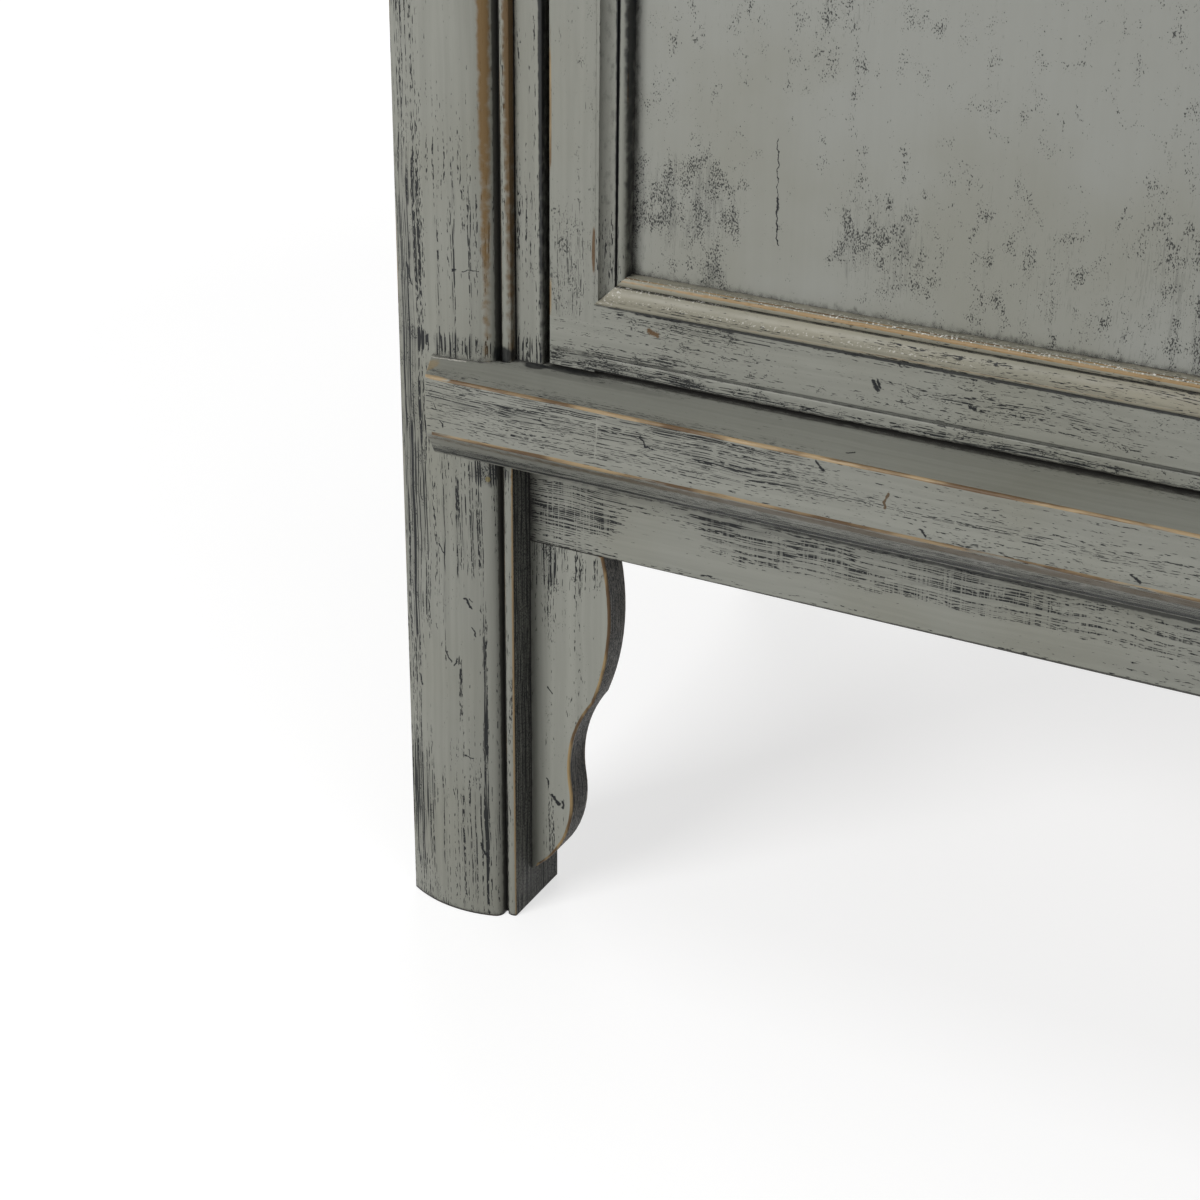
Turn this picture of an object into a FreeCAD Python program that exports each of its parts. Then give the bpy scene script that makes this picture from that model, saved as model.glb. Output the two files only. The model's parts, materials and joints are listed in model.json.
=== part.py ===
import FreeCAD, Part
import os
import re
import Sketcher

# Two-door storage cabinet of lacquered elm. All sizes are in millimetres.
# The origin is on the floor, under the middle of the cabinet's outline.
# +X runs to the right along the front, +Y from the front to the back, +Z up.

# Driving sizes
SIZES = {
    # Whole cabinet
    "overall_width": 950,
    "overall_height": 1200,
    "carcass_depth": 465,
    "overrun": 5,
    "glue_gap": 0.1,
    "panel_play": 0.3,

    # Legs: a cushioned front face, then a narrow groove and a bead at the inner arris
    "leg_width": 61,
    "leg_depth": 46,
    "leg_bulge": 8,
    "cushion_edge": 5,
    "cushion_round": 4,
    "bead_width": 5,
    "bead_drop": 0.8,
    "groove_width": 1.6,
    "groove_depth": 2.6,

    # Lower front rail, whose moulded front is lapped over the legs
    "ledge_top": 310,
    "ledge_height": 50,
    "ledge_proud": 32.5,
    "ledge_face_height": 29,
    "ledge_lap": 27,
    "ledge_splay": 11,

    # Front apron and its brackets
    "apron_setback": 17.8,
    "apron_thick": 18,
    "apron_height": 49.5,
    "bracket_width": 44,
    "bracket_lift": 20,

    # Rails, tenons and pegs
    "rail_thick": 24,
    "rail_height": 50,
    "rail_setback": 6,
    "back_setback": 16,
    "door_head_height": 28,
    "tenon_thick": 12,
    "tenon_length": 30,
    "tenon_wall": 7,
    "peg_radius": 3.5,
    "peg_past": 2,

    # Panels and boards
    "panel_thick": 10,
    "panel_groove": 7.5,
    "muntin_width": 40,
    "floor_thick": 14,
    "floor_drop": 12,
    "floor_tongue": 8,
    "shelf_thick": 16,
    "shelf_gap": 4,
    "cleat_width": 24,
    "cleat_height": 20,

    # Jambs and doors
    "jamb_width": 14.2,
    "jamb_depth": 36,
    "door_setback": 5,
    "hanging_gap": 3.3,
    "meeting_gap": 3,
    "door_foot_gap": 1.5,
    "door_head_gap": 2,
    "door_thick": 24,
    "stile_width": 24,
    "door_rail_height": 33,
    "door_groove": 7,
    "door_panel_thick": 8,
    "door_panel_recess": 10,
    "door_tenon_length": 16,
    "door_tenon_shoulder": 6,
    "stop_thick": 12,
    "stop_drop": 12,
    "stop_gap": 0.5,

    # Moulding planted round each door panel
    "mould_width": 14,
    "mould_proud": 2,
    "mould_cove_depth": 2.6,
    "mould_quirk_depth": 3.8,
    "mould_bead_depth": 1.6,
    "mould_inner_depth": 3.2,

    # Brass hinges
    "hinge_height": 60,
    "hinge_radius": 3.5,
    "hinge_pin_radius": 1.5,
    "pin_clearance": 0.05,
    "leaf_thick": 1.5,
    "frame_leaf_margin": 2.85,
    "door_leaf_margin": 3.65,
    "knuckle_gap": 0.3,
    "nail_radius": 1,
    "nail_length": 11,
    "nail_head_radius": 2.2,
    "nail_head_height": 0.7,
    "nail_inset": 8,

    # Brass pulls
    "pull_plate_width": 16,
    "pull_plate_height": 66,
    "pull_plate_thick": 1.5,
    "pull_lug_thick": 3,
    "pull_lug_radius": 3.6,
    "pull_reach": 6.5,
    "pull_eye_width": 6,
    "pull_eye_radius": 3.6,
    "pull_play": 0.3,
    "pull_length": 48,
    "pull_neck_width": 5,
    "pull_drop_width": 14,
    "pull_thick": 4.5,
    "pull_rise": 20,

    # Top
    "top_thick": 30,
    "top_side_overhang": 25,
    "top_back_overhang": 15,
    "top_member_width": 75,
    "top_edge_height": 12,
    "top_edge_inset": 14,
    "top_groove_depth": 8,
    "top_groove_height": 8,
    "top_panel_thick": 15,
    "batten_width": 40,
    "stub_width": 14,
    "stub_depth": 24,
    "stub_height": 12,
    "stub_inset": 5,
}

# Planes worked out from the sizes above
PLANES = {
    "half_width": "=overall_width / 2",
    "leg_inner": "=half_width - leg_width",
    "front_plane": "=(ledge_proud - carcass_depth - top_back_overhang) / 2",
    "rear_plane": "=front_plane + carcass_depth",
    "ledge_face": "=front_plane - ledge_proud",
    "front_leg_back": "=front_plane + leg_depth",
    "rear_leg_front": "=rear_plane - leg_depth",
    "carcass_top": "=overall_height - top_thick",
    "rail_bottom": "=ledge_top - ledge_height",
    "upper_rail_bottom": "=carcass_top - rail_height",
    "apron_face": "=front_plane + apron_setback",
    "apron_bottom": "=rail_bottom - apron_height",
    "side_rail_outer": "=half_width - rail_setback",
    "side_rail_inner": "=side_rail_outer - rail_thick",
    "side_panel_outer": "=side_rail_outer - (rail_thick - panel_thick) / 2",
    "side_panel_inner": "=side_panel_outer - panel_thick",
    "tenon_shoulder": "=panel_groove + panel_play + 2 * glue_gap",
    "side_tenon_inner": "=side_panel_inner - (tenon_thick - panel_thick) / 2",
    "side_tenon_outer": "=side_panel_outer + (tenon_thick - panel_thick) / 2",
    "cross_tenon_end": "=side_tenon_inner - tenon_wall",
    "back_rail_outer": "=rear_plane - back_setback",
    "back_rail_inner": "=back_rail_outer - rail_thick",
    "back_panel_outer": "=back_rail_outer - (rail_thick - panel_thick) / 2",
    "back_panel_inner": "=back_panel_outer - panel_thick",
    "floor_top": "=ledge_top - floor_drop",
    "floor_bottom": "=floor_top - floor_thick",
    "door_head_bottom": "=carcass_top - door_head_height",
    "jamb_inner": "=leg_inner - jamb_width",
    "door_face": "=front_plane + door_setback",
    "door_back": "=door_face + door_thick",
    "door_outer": "=jamb_inner - hanging_gap",
    "door_inner": "=meeting_gap / 2",
    "door_bottom": "=ledge_top + door_foot_gap",
    "door_top": "=door_head_bottom - door_head_gap",
    "stile_outer_edge": "=door_outer - stile_width",
    "stile_inner_edge": "=door_inner + stile_width",
    "sill_top": "=door_bottom + door_rail_height",
    "lintel_bottom": "=door_top - door_rail_height",
    "door_panel_face": "=door_face + door_panel_recess",
    "door_panel_back": "=door_panel_face + door_panel_thick",
    "door_height": "=door_top - door_bottom",
    "top_half_width": "=half_width + top_side_overhang",
    "top_open_x": "=top_half_width - top_member_width",
    "top_back": "=rear_plane + top_back_overhang",
    "top_open_y": "=top_back - top_member_width",
    "top_panel_bottom": "=overall_height - top_panel_thick",
}

doc = FreeCAD.newDocument("storage_cabinet")
sheet = doc.addObject("Spreadsheet::Sheet", "Sizes")
aliases = list(SIZES | PLANES)
for row, (name, content) in enumerate((SIZES | PLANES).items(), start=1):
    sheet.set(f"A{row}", name)
    sheet.set(f"B{row}", str(content))
    sheet.setAlias(f"B{row}", name)
doc.recompute()

words = re.compile(r"[a-z_][a-z0-9_]*")


def bound(formula):
    """The formula with each size written as a reference to the sheet."""
    return words.sub(lambda m: "Sizes." + m.group() if m.group() in aliases else m.group(), formula)


def number(formula):
    """The formula's value with the sheet's present sizes."""
    return float(sheet.evalExpression(formula))


def mirrored(side, formula):
    """A distance from the middle plane, to the right of it or to the left."""
    return formula if side > 0 else f"-({formula})"


def mirrored_corner(side, corner):
    """An outline's corner, and the point that its arc passes, on the right or the left."""
    u, v, *through = corner
    return (mirrored(side, u), v, *((mirrored(side, mu), mv) for mu, mv in through))


def span(side, near, far):
    """The lower and upper x of a piece on one side of the middle plane."""
    return (near, far) if side > 0 else (f"-({far})", f"-({near})")


def box(name, xs, ys, zs):
    """A squared board between two planes on each axis."""
    board = doc.addObject("Part::Box", name)
    for length, axis, (low, high) in (("Length", "x", xs), ("Width", "y", ys), ("Height", "z", zs)):
        board.setExpression(length, bound(f"({high}) - ({low})"))
        board.setExpression("Placement.Base." + axis, bound(low))
    return board


# A cylinder's own axis is Z; these turns lay it along X or along Y.
TURNS = {
    "x": FreeCAD.Rotation(FreeCAD.Vector(0, 1, 0), 90),
    "y": FreeCAD.Rotation(FreeCAD.Vector(1, 0, 0), -90),
    "z": FreeCAD.Rotation(),
}


def rod(name, axis, radius, start, length):
    """A round rod along +X, +Y or +Z from its start point."""
    piece = doc.addObject("Part::Cylinder", name)
    piece.Placement = FreeCAD.Placement(FreeCAD.Vector(), TURNS[axis])
    piece.setExpression("Radius", bound(radius))
    piece.setExpression("Height", bound(length))
    for letter, place in zip("xyz", start):
        piece.setExpression("Placement.Base." + letter, bound(place))
    return piece


def fuse(name, pieces):
    joined = doc.addObject("Part::MultiFuse", name)
    joined.Shapes = pieces
    return joined


def cut(name, piece, tools):
    """A piece less its mortises, grooves and bores."""
    result = doc.addObject("Part::Cut", name)
    result.Base = piece
    result.Tool = tools[0] if len(tools) == 1 else fuse(name + "_tools", tools)
    return result


def common(name, first, second):
    result = doc.addObject("Part::Common", name)
    result.Base = first
    result.Tool = second
    return result


def group(name, pieces):
    """Several separate solids of one kind under one name."""
    result = doc.addObject("Part::Compound", name)
    result.Links = pieces
    return result


def hold(sketch, kind, edge, point, formula):
    """Ties one coordinate of a sketch point to a formula of the sheet."""
    index = sketch.addConstraint(Sketcher.Constraint(kind, edge, point, number(formula)))
    sketch.setExpression(f"Constraints[{index}]", bound(formula))


def outline(sketch, corners):
    """A closed outline. A corner is (u, v), or (u, v, (mu, mv)) where the edge
    to the next corner is an arc through (mu, mv)."""
    places = [FreeCAD.Vector(number(c[0]), number(c[1]), 0) for c in corners]
    ends = []
    for i, corner in enumerate(corners):
        here, there = places[i], places[(i + 1) % len(places)]
        if len(corner) == 2:
            ends.append((sketch.addGeometry(Part.LineSegment(here, there)), 1, 2))
            continue
        middle = FreeCAD.Vector(number(corner[2][0]), number(corner[2][1]), 0)
        left_turn = (middle - here).cross(there - middle).z > 0
        first, last = (here, there) if left_turn else (there, here)
        edge = sketch.addGeometry(Part.Arc(first, middle, last))
        ends.append((edge, 1, 2) if left_turn else (edge, 2, 1))
        spot = sketch.addGeometry(Part.Point(middle), True)
        hold(sketch, "DistanceX", spot, 1, corner[2][0])
        hold(sketch, "DistanceY", spot, 1, corner[2][1])
        sketch.addConstraint(Sketcher.Constraint("PointOnObject", spot, 1, edge))
    for i, corner in enumerate(corners):
        edge, start, end = ends[i]
        after, after_start, after_end = ends[(i + 1) % len(ends)]
        sketch.addConstraint(Sketcher.Constraint("Coincident", edge, end, after, after_start))
        hold(sketch, "DistanceX", edge, start, corner[0])
        hold(sketch, "DistanceY", edge, start, corner[1])


def padded(name, plane, corners, start, end):
    """A Body: an outline on XY, XZ or YZ, padded between two planes across it."""
    body = doc.addObject("PartDesign::Body", name)
    role = plane + "_Plane"
    support = [f for f in body.Origin.OriginFeatures if f.Role == role][0]
    sketch = body.newObject("Sketcher::SketchObject", name + "_sketch")
    sketch.AttachmentSupport = [(support, "")]
    sketch.MapMode = "FlatFace"
    outline(sketch, corners)
    pad = body.newObject("PartDesign::Pad", name + "_pad")
    pad.Profile = sketch
    pad.setExpression("Length", bound(f"({end}) - ({start})"))
    pad.Reversed = plane == "XZ"
    across = {"XY": "z", "XZ": "y", "YZ": "x"}[plane]
    body.setExpression("Placement.Base." + across, bound(start))
    return body


SIDES = (("left", -1), ("right", 1))
nodes = []


def keep(piece, name):
    """Gives a finished piece its own label and puts it among the parts."""
    piece.Label = name
    nodes.append(piece)
    return piece


# Mortises, grooves and peg bores, each made from the tenon, panel or peg that it holds

def grown(low, high):
    """A range widened by the glue gap at both ends."""
    return f"({low}) - glue_gap", f"({high}) + glue_gap"


def tenon_across(name, side, ys, zs, gap):
    """A tenon along X into a leg, or with a gap the mortise that takes it."""
    if gap:
        xs = span(side, "leg_inner - overrun", "cross_tenon_end + glue_gap")
        return box(name, xs, grown(*ys), grown(*zs))
    return box(name, span(side, "leg_inner - overrun", "cross_tenon_end"), ys, zs)


def tenon_along(name, side, front, zs, gap):
    """A tenon along Y from a side rail into a front or rear leg, or its mortise."""
    xs = span(side, "side_tenon_inner", "side_tenon_outer")
    deep = "tenon_length + glue_gap" if gap else "tenon_length"
    if front:
        ys = (f"front_leg_back - ({deep})", "front_leg_back + overrun")
    else:
        ys = ("rear_leg_front - overrun", f"rear_leg_front + {deep}")
    if gap:
        return box(name, grown(*xs), ys, grown(*zs))
    return box(name, xs, ys, zs)


def shouldered(low, high):
    """The height of a tenon between its two shoulders."""
    return f"{low} + tenon_shoulder", f"{high} - tenon_shoulder"


FRONT_TENON = ("front_plane + (leg_depth - tenon_thick) / 2", "front_plane + (leg_depth + tenon_thick) / 2")
BACK_TENON = ("back_panel_inner - (tenon_thick - panel_thick) / 2",
              "back_panel_outer + (tenon_thick - panel_thick) / 2")
LOW_TENON = shouldered("rail_bottom", "ledge_top")
HIGH_TENON = shouldered("upper_rail_bottom", "carcass_top")
HEAD_TENON = ("door_head_bottom + tenon_shoulder / 2", "carcass_top - tenon_shoulder / 2")
LOW_PEG = "rail_bottom + ledge_height / 2"
HIGH_PEG = "upper_rail_bottom + rail_height / 2"
HEAD_PEG = "door_head_bottom + door_head_height / 2"


def cross_peg(name, side, front, height, radius):
    """A peg along Y, driven from a leg's hidden face through a tenon that runs along X."""
    x = mirrored(side, "(leg_inner + cross_tenon_end) / 2")
    start = f"{FRONT_TENON[0]} - peg_past" if front else "rear_leg_front"
    end = "front_leg_back" if front else f"{BACK_TENON[1]} + peg_past"
    return rod(name, "y", radius, (x, start, height), f"{end} - ({start})")


def side_peg(name, side, front, height, radius):
    """A peg along X, driven from a leg's outer face through a side rail's tenon."""
    y = "front_leg_back - tenon_length / 2" if front else "rear_leg_front + tenon_length / 2"
    start, end = span(side, "side_tenon_inner - peg_past", "half_width")
    return rod(name, "x", radius, (start, y, height), f"{end} - ({start})")


pegs = []


def pegged(name, side, front, along_x, height):
    """Adds one peg to the group of pegs and returns the bore that it fills."""
    make = cross_peg if along_x else side_peg
    pegs.append(make(f"peg_{name}", side, front, height, "peg_radius"))
    return make(f"peg_bore_{name}", side, front, height, "peg_radius + pin_clearance")


# Front legs. The face swells between the outer arris and the groove beside the bead.

CREST_SHARE = 0.55
ROUND_SHARES = (0.25, 0.62)
CUSHION_END = "leg_inner + bead_width + groove_width"


def front_leg_outline(side):
    corners = [
        ("half_width", "front_plane",
         (f"leg_inner + {CREST_SHARE} * leg_width", "front_plane - leg_bulge")),
        (f"{CUSHION_END} + cushion_round", "front_plane - cushion_edge",
         (f"{CUSHION_END} + {ROUND_SHARES[0]} * cushion_round",
          f"front_plane - {ROUND_SHARES[1]} * cushion_edge")),
        (CUSHION_END, "front_plane + bead_drop"),
        (CUSHION_END, "front_plane + groove_depth"),
        ("leg_inner + bead_width", "front_plane + groove_depth"),
        ("leg_inner + bead_width", "front_plane + bead_drop",
         ("leg_inner + bead_width / 2", "front_plane")),
        ("leg_inner", "front_plane + bead_drop"),
        ("leg_inner", "front_leg_back"),
        ("half_width", "front_leg_back"),
    ]
    return [mirrored_corner(side, corner) for corner in corners]


PANEL_RISE = ("ledge_top - panel_groove - panel_play", "upper_rail_bottom + panel_groove + panel_play")
front_leg_bodies = {}
bores = {}

for label, side in SIDES:
    blank = padded(f"front_leg_blank_{label}", "XY", front_leg_outline(side), "0", "carcass_top")
    front_leg_bodies[label] = blank
    stub = box(f"front_leg_stub_{label}",
               span(side, "leg_inner + stub_inset", "leg_inner + stub_inset + stub_width"),
               ("front_plane + stub_inset", "front_plane + stub_inset + stub_depth"),
               ("carcass_top - overrun", "carcass_top + stub_height"))
    tools = [
        tenon_across(f"mortise_front_low_{label}", side, FRONT_TENON, LOW_TENON, True),
        tenon_across(f"mortise_front_head_{label}", side, FRONT_TENON, HEAD_TENON, True),
        tenon_along(f"mortise_front_side_low_{label}", side, True, LOW_TENON, True),
        tenon_along(f"mortise_front_side_high_{label}", side, True, HIGH_TENON, True),
        box(f"panel_groove_front_{label}",
            span(side, "side_panel_inner - glue_gap", "side_panel_outer + glue_gap"),
            ("front_leg_back - panel_groove - panel_play", "front_leg_back + overrun"), PANEL_RISE),
    ]
    bores["front", label] = [
        pegged(f"ledge_{label}", side, True, True, LOW_PEG),
        pegged(f"head_{label}", side, True, True, HEAD_PEG),
        pegged(f"front_side_low_{label}", side, True, False, LOW_PEG),
        pegged(f"front_side_high_{label}", side, True, False, HIGH_PEG),
    ]
    leg = cut(f"leg_front_{label}", fuse(f"front_leg_with_stub_{label}", [blank, stub]),
              tools + bores["front", label])
    keep(leg, f"leg_front_{label}")

# Rear legs: plain squared posts
for label, side in SIDES:
    post = box(f"rear_leg_blank_{label}", span(side, "leg_inner", "half_width"),
               ("rear_leg_front", "rear_plane"), ("0", "carcass_top"))
    stub = box(f"rear_leg_stub_{label}",
               span(side, "leg_inner + stub_inset", "leg_inner + stub_inset + stub_width"),
               ("rear_plane - stub_inset - stub_depth", "rear_plane - stub_inset"),
               ("carcass_top - overrun", "carcass_top + stub_height"))
    tools = [
        tenon_across(f"mortise_rear_low_{label}", side, BACK_TENON, LOW_TENON, True),
        tenon_across(f"mortise_rear_high_{label}", side, BACK_TENON, HIGH_TENON, True),
        tenon_along(f"mortise_rear_side_low_{label}", side, False, LOW_TENON, True),
        tenon_along(f"mortise_rear_side_high_{label}", side, False, HIGH_TENON, True),
        box(f"panel_groove_rear_{label}",
            span(side, "side_panel_inner - glue_gap", "side_panel_outer + glue_gap"),
            ("rear_leg_front - overrun", "rear_leg_front + panel_groove + panel_play"), PANEL_RISE),
        box(f"back_groove_{label}",
            span(side, "leg_inner - overrun", "leg_inner + panel_groove + panel_play"),
            grown("back_panel_inner", "back_panel_outer"), PANEL_RISE),
    ]
    bores["rear", label] = [
        pegged(f"rear_low_{label}", side, False, True, LOW_PEG),
        pegged(f"rear_high_{label}", side, False, True, HIGH_PEG),
        pegged(f"rear_side_low_{label}", side, False, False, LOW_PEG),
        pegged(f"rear_side_high_{label}", side, False, False, HIGH_PEG),
    ]
    leg = cut(f"leg_rear_{label}", fuse(f"rear_leg_with_stub_{label}", [post, stub]),
              tools + bores["rear", label])
    keep(leg, f"leg_rear_{label}")

# Lower front rail. Its section is a shelf edge with a flat face and a slope under it;
# its splayed ends lap over the cushioned legs, and its tenons enter them.
ledge_section = padded("ledge_section", "YZ", [
    ("ledge_face", "ledge_top"),
    ("ledge_face", "ledge_top - ledge_face_height"),
    ("front_plane - leg_bulge", "rail_bottom"),
    ("front_leg_back", "rail_bottom"),
    ("front_leg_back", "ledge_top"),
], "-half_width", "half_width")
ledge_tip = "leg_inner + ledge_lap"
ledge_root = "leg_inner + ledge_lap + ledge_splay"
ledge_plan = padded("ledge_plan", "XY", [
    (f"-({ledge_tip})", "ledge_face"),
    (ledge_tip, "ledge_face"),
    (ledge_root, "front_plane - leg_bulge"),
    (ledge_root, "front_leg_back"),
    (f"-({ledge_root})", "front_leg_back"),
    (f"-({ledge_root})", "front_plane - leg_bulge"),
], "rail_bottom", "ledge_top")
ledge_lapped = cut("ledge_lapped", common("ledge_splayed", ledge_section, ledge_plan),
                   [front_leg_bodies["left"], front_leg_bodies["right"]])
ledge_tenons = [tenon_across(f"ledge_tenon_{label}", side, FRONT_TENON, LOW_TENON, False)
                for label, side in SIDES]
floor_groove_front = box("floor_groove_front", ("-leg_inner", "leg_inner"),
                         ("front_leg_back - floor_tongue - panel_play", "front_leg_back + overrun"),
                         grown("floor_bottom", "floor_top"))
keep(cut("ledge_rail", fuse("ledge_with_tenons", [ledge_lapped] + ledge_tenons),
         [floor_groove_front, bores["front", "left"][0], bores["front", "right"][0]]), "ledge_rail")

# Rail over the doors
head = box("head_blank", ("-leg_inner", "leg_inner"), ("front_plane", "front_leg_back"),
           ("door_head_bottom", "carcass_top"))
head_tenons = [tenon_across(f"head_tenon_{label}", side, FRONT_TENON, HEAD_TENON, False)
               for label, side in SIDES]
keep(cut("door_head_rail", fuse("head_with_tenons", [head] + head_tenons),
         [bores["front", "left"][1], bores["front", "right"][1]]), "door_head_rail")

# Front apron under the ledge
keep(box("front_apron", ("-leg_inner", "leg_inner"), ("apron_face", "apron_face + apron_thick"),
         ("apron_bottom", "rail_bottom")), "front_apron")

# Brackets under the aprons: shares of the bracket's width, and of its height above its foot.
# A belly under the apron, a waist, a second belly and a point at the leg.
BRACKET_SHARES = (
    ((0.0, 1.0), None),
    ((0.91, 1.0), (1.005, 0.84)),
    ((0.80, 0.565), (0.52, 0.41)),
    ((0.52, 0.295), (0.49, 0.16)),
    ((0.0, 0.0), None),
)


def bracket_point(shares, root, away):
    """One point of the bracket: away is + or - from its root plane at the leg."""
    across, up = shares
    return f"{root} {away} {across} * bracket_width", f"bracket_lift + {up} * (apron_bottom - bracket_lift)"


def bracket(name, plane, root, away, start):
    corners = []
    for place, through in BRACKET_SHARES:
        corner = bracket_point(place, root, away)
        corners.append(corner if through is None else corner + (bracket_point(through, root, away),))
    return padded(name, plane, corners, start, f"{start} + apron_thick")


keep(bracket("bracket_front_left", "XZ", "-leg_inner", "+", "apron_face"), "bracket_front_left")
keep(bracket("bracket_front_right", "XZ", "leg_inner", "-", "apron_face"), "bracket_front_right")

# Side aprons, set back from the legs' outer faces, with a bracket at each leg
side_aprons = []
side_brackets = []
for label, side in SIDES:
    low = span(side, "side_rail_outer - apron_thick", "side_rail_outer")[0]
    side_aprons.append(box(f"side_apron_{label}", (low, f"{low} + apron_thick"),
                           ("front_leg_back", "rear_leg_front"), ("apron_bottom", "rail_bottom")))
    side_brackets.append(bracket(f"side_bracket_front_{label}", "YZ", "front_leg_back", "+", low))
    side_brackets.append(bracket(f"side_bracket_rear_{label}", "YZ", "rear_leg_front", "-", low))
keep(group("side_aprons", side_aprons), "side_aprons")
keep(group("side_brackets", side_brackets), "side_brackets")

# Side rails, lower and upper, each with a tenon into the front and the rear leg
for label, side in SIDES:
    xs = span(side, "side_rail_inner", "side_rail_outer")
    groove_xs = span(side, "side_panel_inner - glue_gap", "side_panel_outer + glue_gap")
    for level, low, high, tenon, at, groove in (
        ("lower", "rail_bottom", "ledge_top", LOW_TENON, 2,
         ("ledge_top - panel_groove - panel_play", "ledge_top + overrun")),
        ("upper", "upper_rail_bottom", "carcass_top", HIGH_TENON, 3,
         ("upper_rail_bottom - overrun", "upper_rail_bottom + panel_groove + panel_play")),
    ):
        rail = fuse(f"side_rail_{level}_{label}_tenoned", [
            box(f"side_rail_{level}_{label}_blank", xs, ("front_leg_back", "rear_leg_front"), (low, high)),
            tenon_along(f"side_tenon_{level}_front_{label}", side, True, tenon, False),
            tenon_along(f"side_tenon_{level}_rear_{label}", side, False, tenon, False),
        ])
        slot = box(f"side_rail_{level}_{label}_groove", groove_xs,
                   ("front_leg_back - overrun", "rear_leg_front + overrun"), groove)
        tools = [slot, bores["front", label][at], bores["rear", label][at]]
        keep(cut(f"side_rail_{level}_{label}", rail, tools), f"side_rail_{level}_{label}")
    keep(box(f"side_panel_{label}", span(side, "side_panel_inner", "side_panel_outer"),
             ("front_leg_back - panel_groove", "rear_leg_front + panel_groove"),
             ("ledge_top - panel_groove", "upper_rail_bottom + panel_groove")), f"side_panel_{label}")

# Back: two rails, a muntin between them and two panels in their grooves
back_ys = ("back_rail_inner", "back_rail_outer")
back_groove_ys = grown("back_panel_inner", "back_panel_outer")
floor_groove_rear = box("floor_groove_rear", ("-leg_inner", "leg_inner"),
                        ("back_rail_inner - overrun", "back_rail_inner + floor_tongue + panel_play"),
                        grown("floor_bottom", "floor_top"))
for level, low, high, tenon, at, groove, more in (
    ("lower", "rail_bottom", "ledge_top", LOW_TENON, 0,
     ("ledge_top - panel_groove - panel_play", "ledge_top + overrun"), [floor_groove_rear]),
    ("upper", "upper_rail_bottom", "carcass_top", HIGH_TENON, 1,
     ("upper_rail_bottom - overrun", "upper_rail_bottom + panel_groove + panel_play"), []),
):
    rail = fuse(f"back_rail_{level}_tenoned", [
        box(f"back_rail_{level}_blank", ("-leg_inner", "leg_inner"), back_ys, (low, high)),
        tenon_across(f"back_tenon_{level}_left", -1, BACK_TENON, tenon, False),
        tenon_across(f"back_tenon_{level}_right", 1, BACK_TENON, tenon, False),
    ])
    slot = box(f"back_rail_{level}_groove", ("-leg_inner - overrun", "leg_inner + overrun"),
               back_groove_ys, groove)
    tools = [slot, bores["rear", "left"][at], bores["rear", "right"][at]] + more
    keep(cut(f"back_rail_{level}", rail, tools), f"back_rail_{level}")

muntin = fuse("back_muntin_tongued", [
    box("back_muntin_blank", ("-muntin_width / 2", "muntin_width / 2"), back_ys,
        ("ledge_top", "upper_rail_bottom")),
    box("back_muntin_tongue", ("-muntin_width / 2", "muntin_width / 2"),
        ("back_panel_inner", "back_panel_outer"),
        ("ledge_top - panel_groove", "upper_rail_bottom + panel_groove")),
])
muntin_grooves = [
    box(f"back_muntin_groove_{label}",
        span(side, "muntin_width / 2 - panel_groove - panel_play", "muntin_width / 2 + overrun"),
        back_groove_ys, PANEL_RISE)
    for label, side in SIDES
]
keep(cut("back_muntin", muntin, muntin_grooves), "back_muntin")
back_panels = [
    box(f"back_panel_{label}", span(side, "muntin_width / 2 - panel_groove", "leg_inner + panel_groove"),
        ("back_panel_inner", "back_panel_outer"),
        ("ledge_top - panel_groove", "upper_rail_bottom + panel_groove"))
    for label, side in SIDES
]
keep(group("back_panels", back_panels), "back_panels")

# Floor board, notched round the four legs, its tongues in the front and back rails
keep(fuse("floor_board", [
    box("floor_board_middle", ("-leg_inner", "leg_inner"),
        ("front_leg_back - floor_tongue", "back_rail_inner + floor_tongue"), ("floor_bottom", "floor_top")),
    box("floor_board_ends", ("-side_rail_inner", "side_rail_inner"),
        ("front_leg_back", "rear_leg_front"), ("floor_bottom", "floor_top")),
]), "floor_board")

# Two shelves on cleats that run between the legs, against the side panels
cleats = []
for level, third in (("lower", 1), ("upper", 2)):
    under = f"floor_top + {third} * (door_head_bottom - floor_top) / 3 - shelf_thick"
    keep(box(f"shelf_{level}", ("-side_panel_inner + panel_play", "side_panel_inner - panel_play"),
             ("front_leg_back + shelf_gap", "rear_leg_front - panel_play"),
             (under, f"{under} + shelf_thick")), f"shelf_{level}")
    for label, side in SIDES:
        cleats.append(box(f"cleat_{level}_{label}",
                          span(side, "side_panel_inner - cleat_width", "side_panel_inner"),
                          ("front_leg_back", "rear_leg_front"), (f"{under} - cleat_height", under)))
keep(group("shelf_cleats", cleats), "shelf_cleats")

# Nails, and the holes that they are driven into

def nail(name, x, z, face):
    """A round-headed brass nail along Y, its head on the brass at the given face."""
    head_piece = rod(name + "_head", "y", "nail_head_radius", (x, f"{face} - nail_head_height", z),
                     "nail_head_height")
    shank = rod(name + "_shank", "y", "nail_radius", (x, face, z), "nail_length")
    return fuse(name, [head_piece, shank])


def nail_hole(name, x, z, face):
    return rod(name, "y", "nail_radius + pin_clearance", (x, f"{face} - overrun", z),
               "nail_length + overrun + pin_clearance")


HINGE_SHARES = (("lower", 0.27), ("upper", 0.73))
HINGE_X = "jamb_inner - hanging_gap / 2"
HINGE_Y = "door_face - hinge_radius"
HINGE_CLEAR = "hinge_radius + knuckle_gap"


def hinge_middle(share):
    return f"door_bottom + {share} * door_height"


def leaf(name, side, near, far, zs):
    return box(name, span(side, near, far), ("door_face - leaf_thick", "door_face"), zs)


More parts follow.
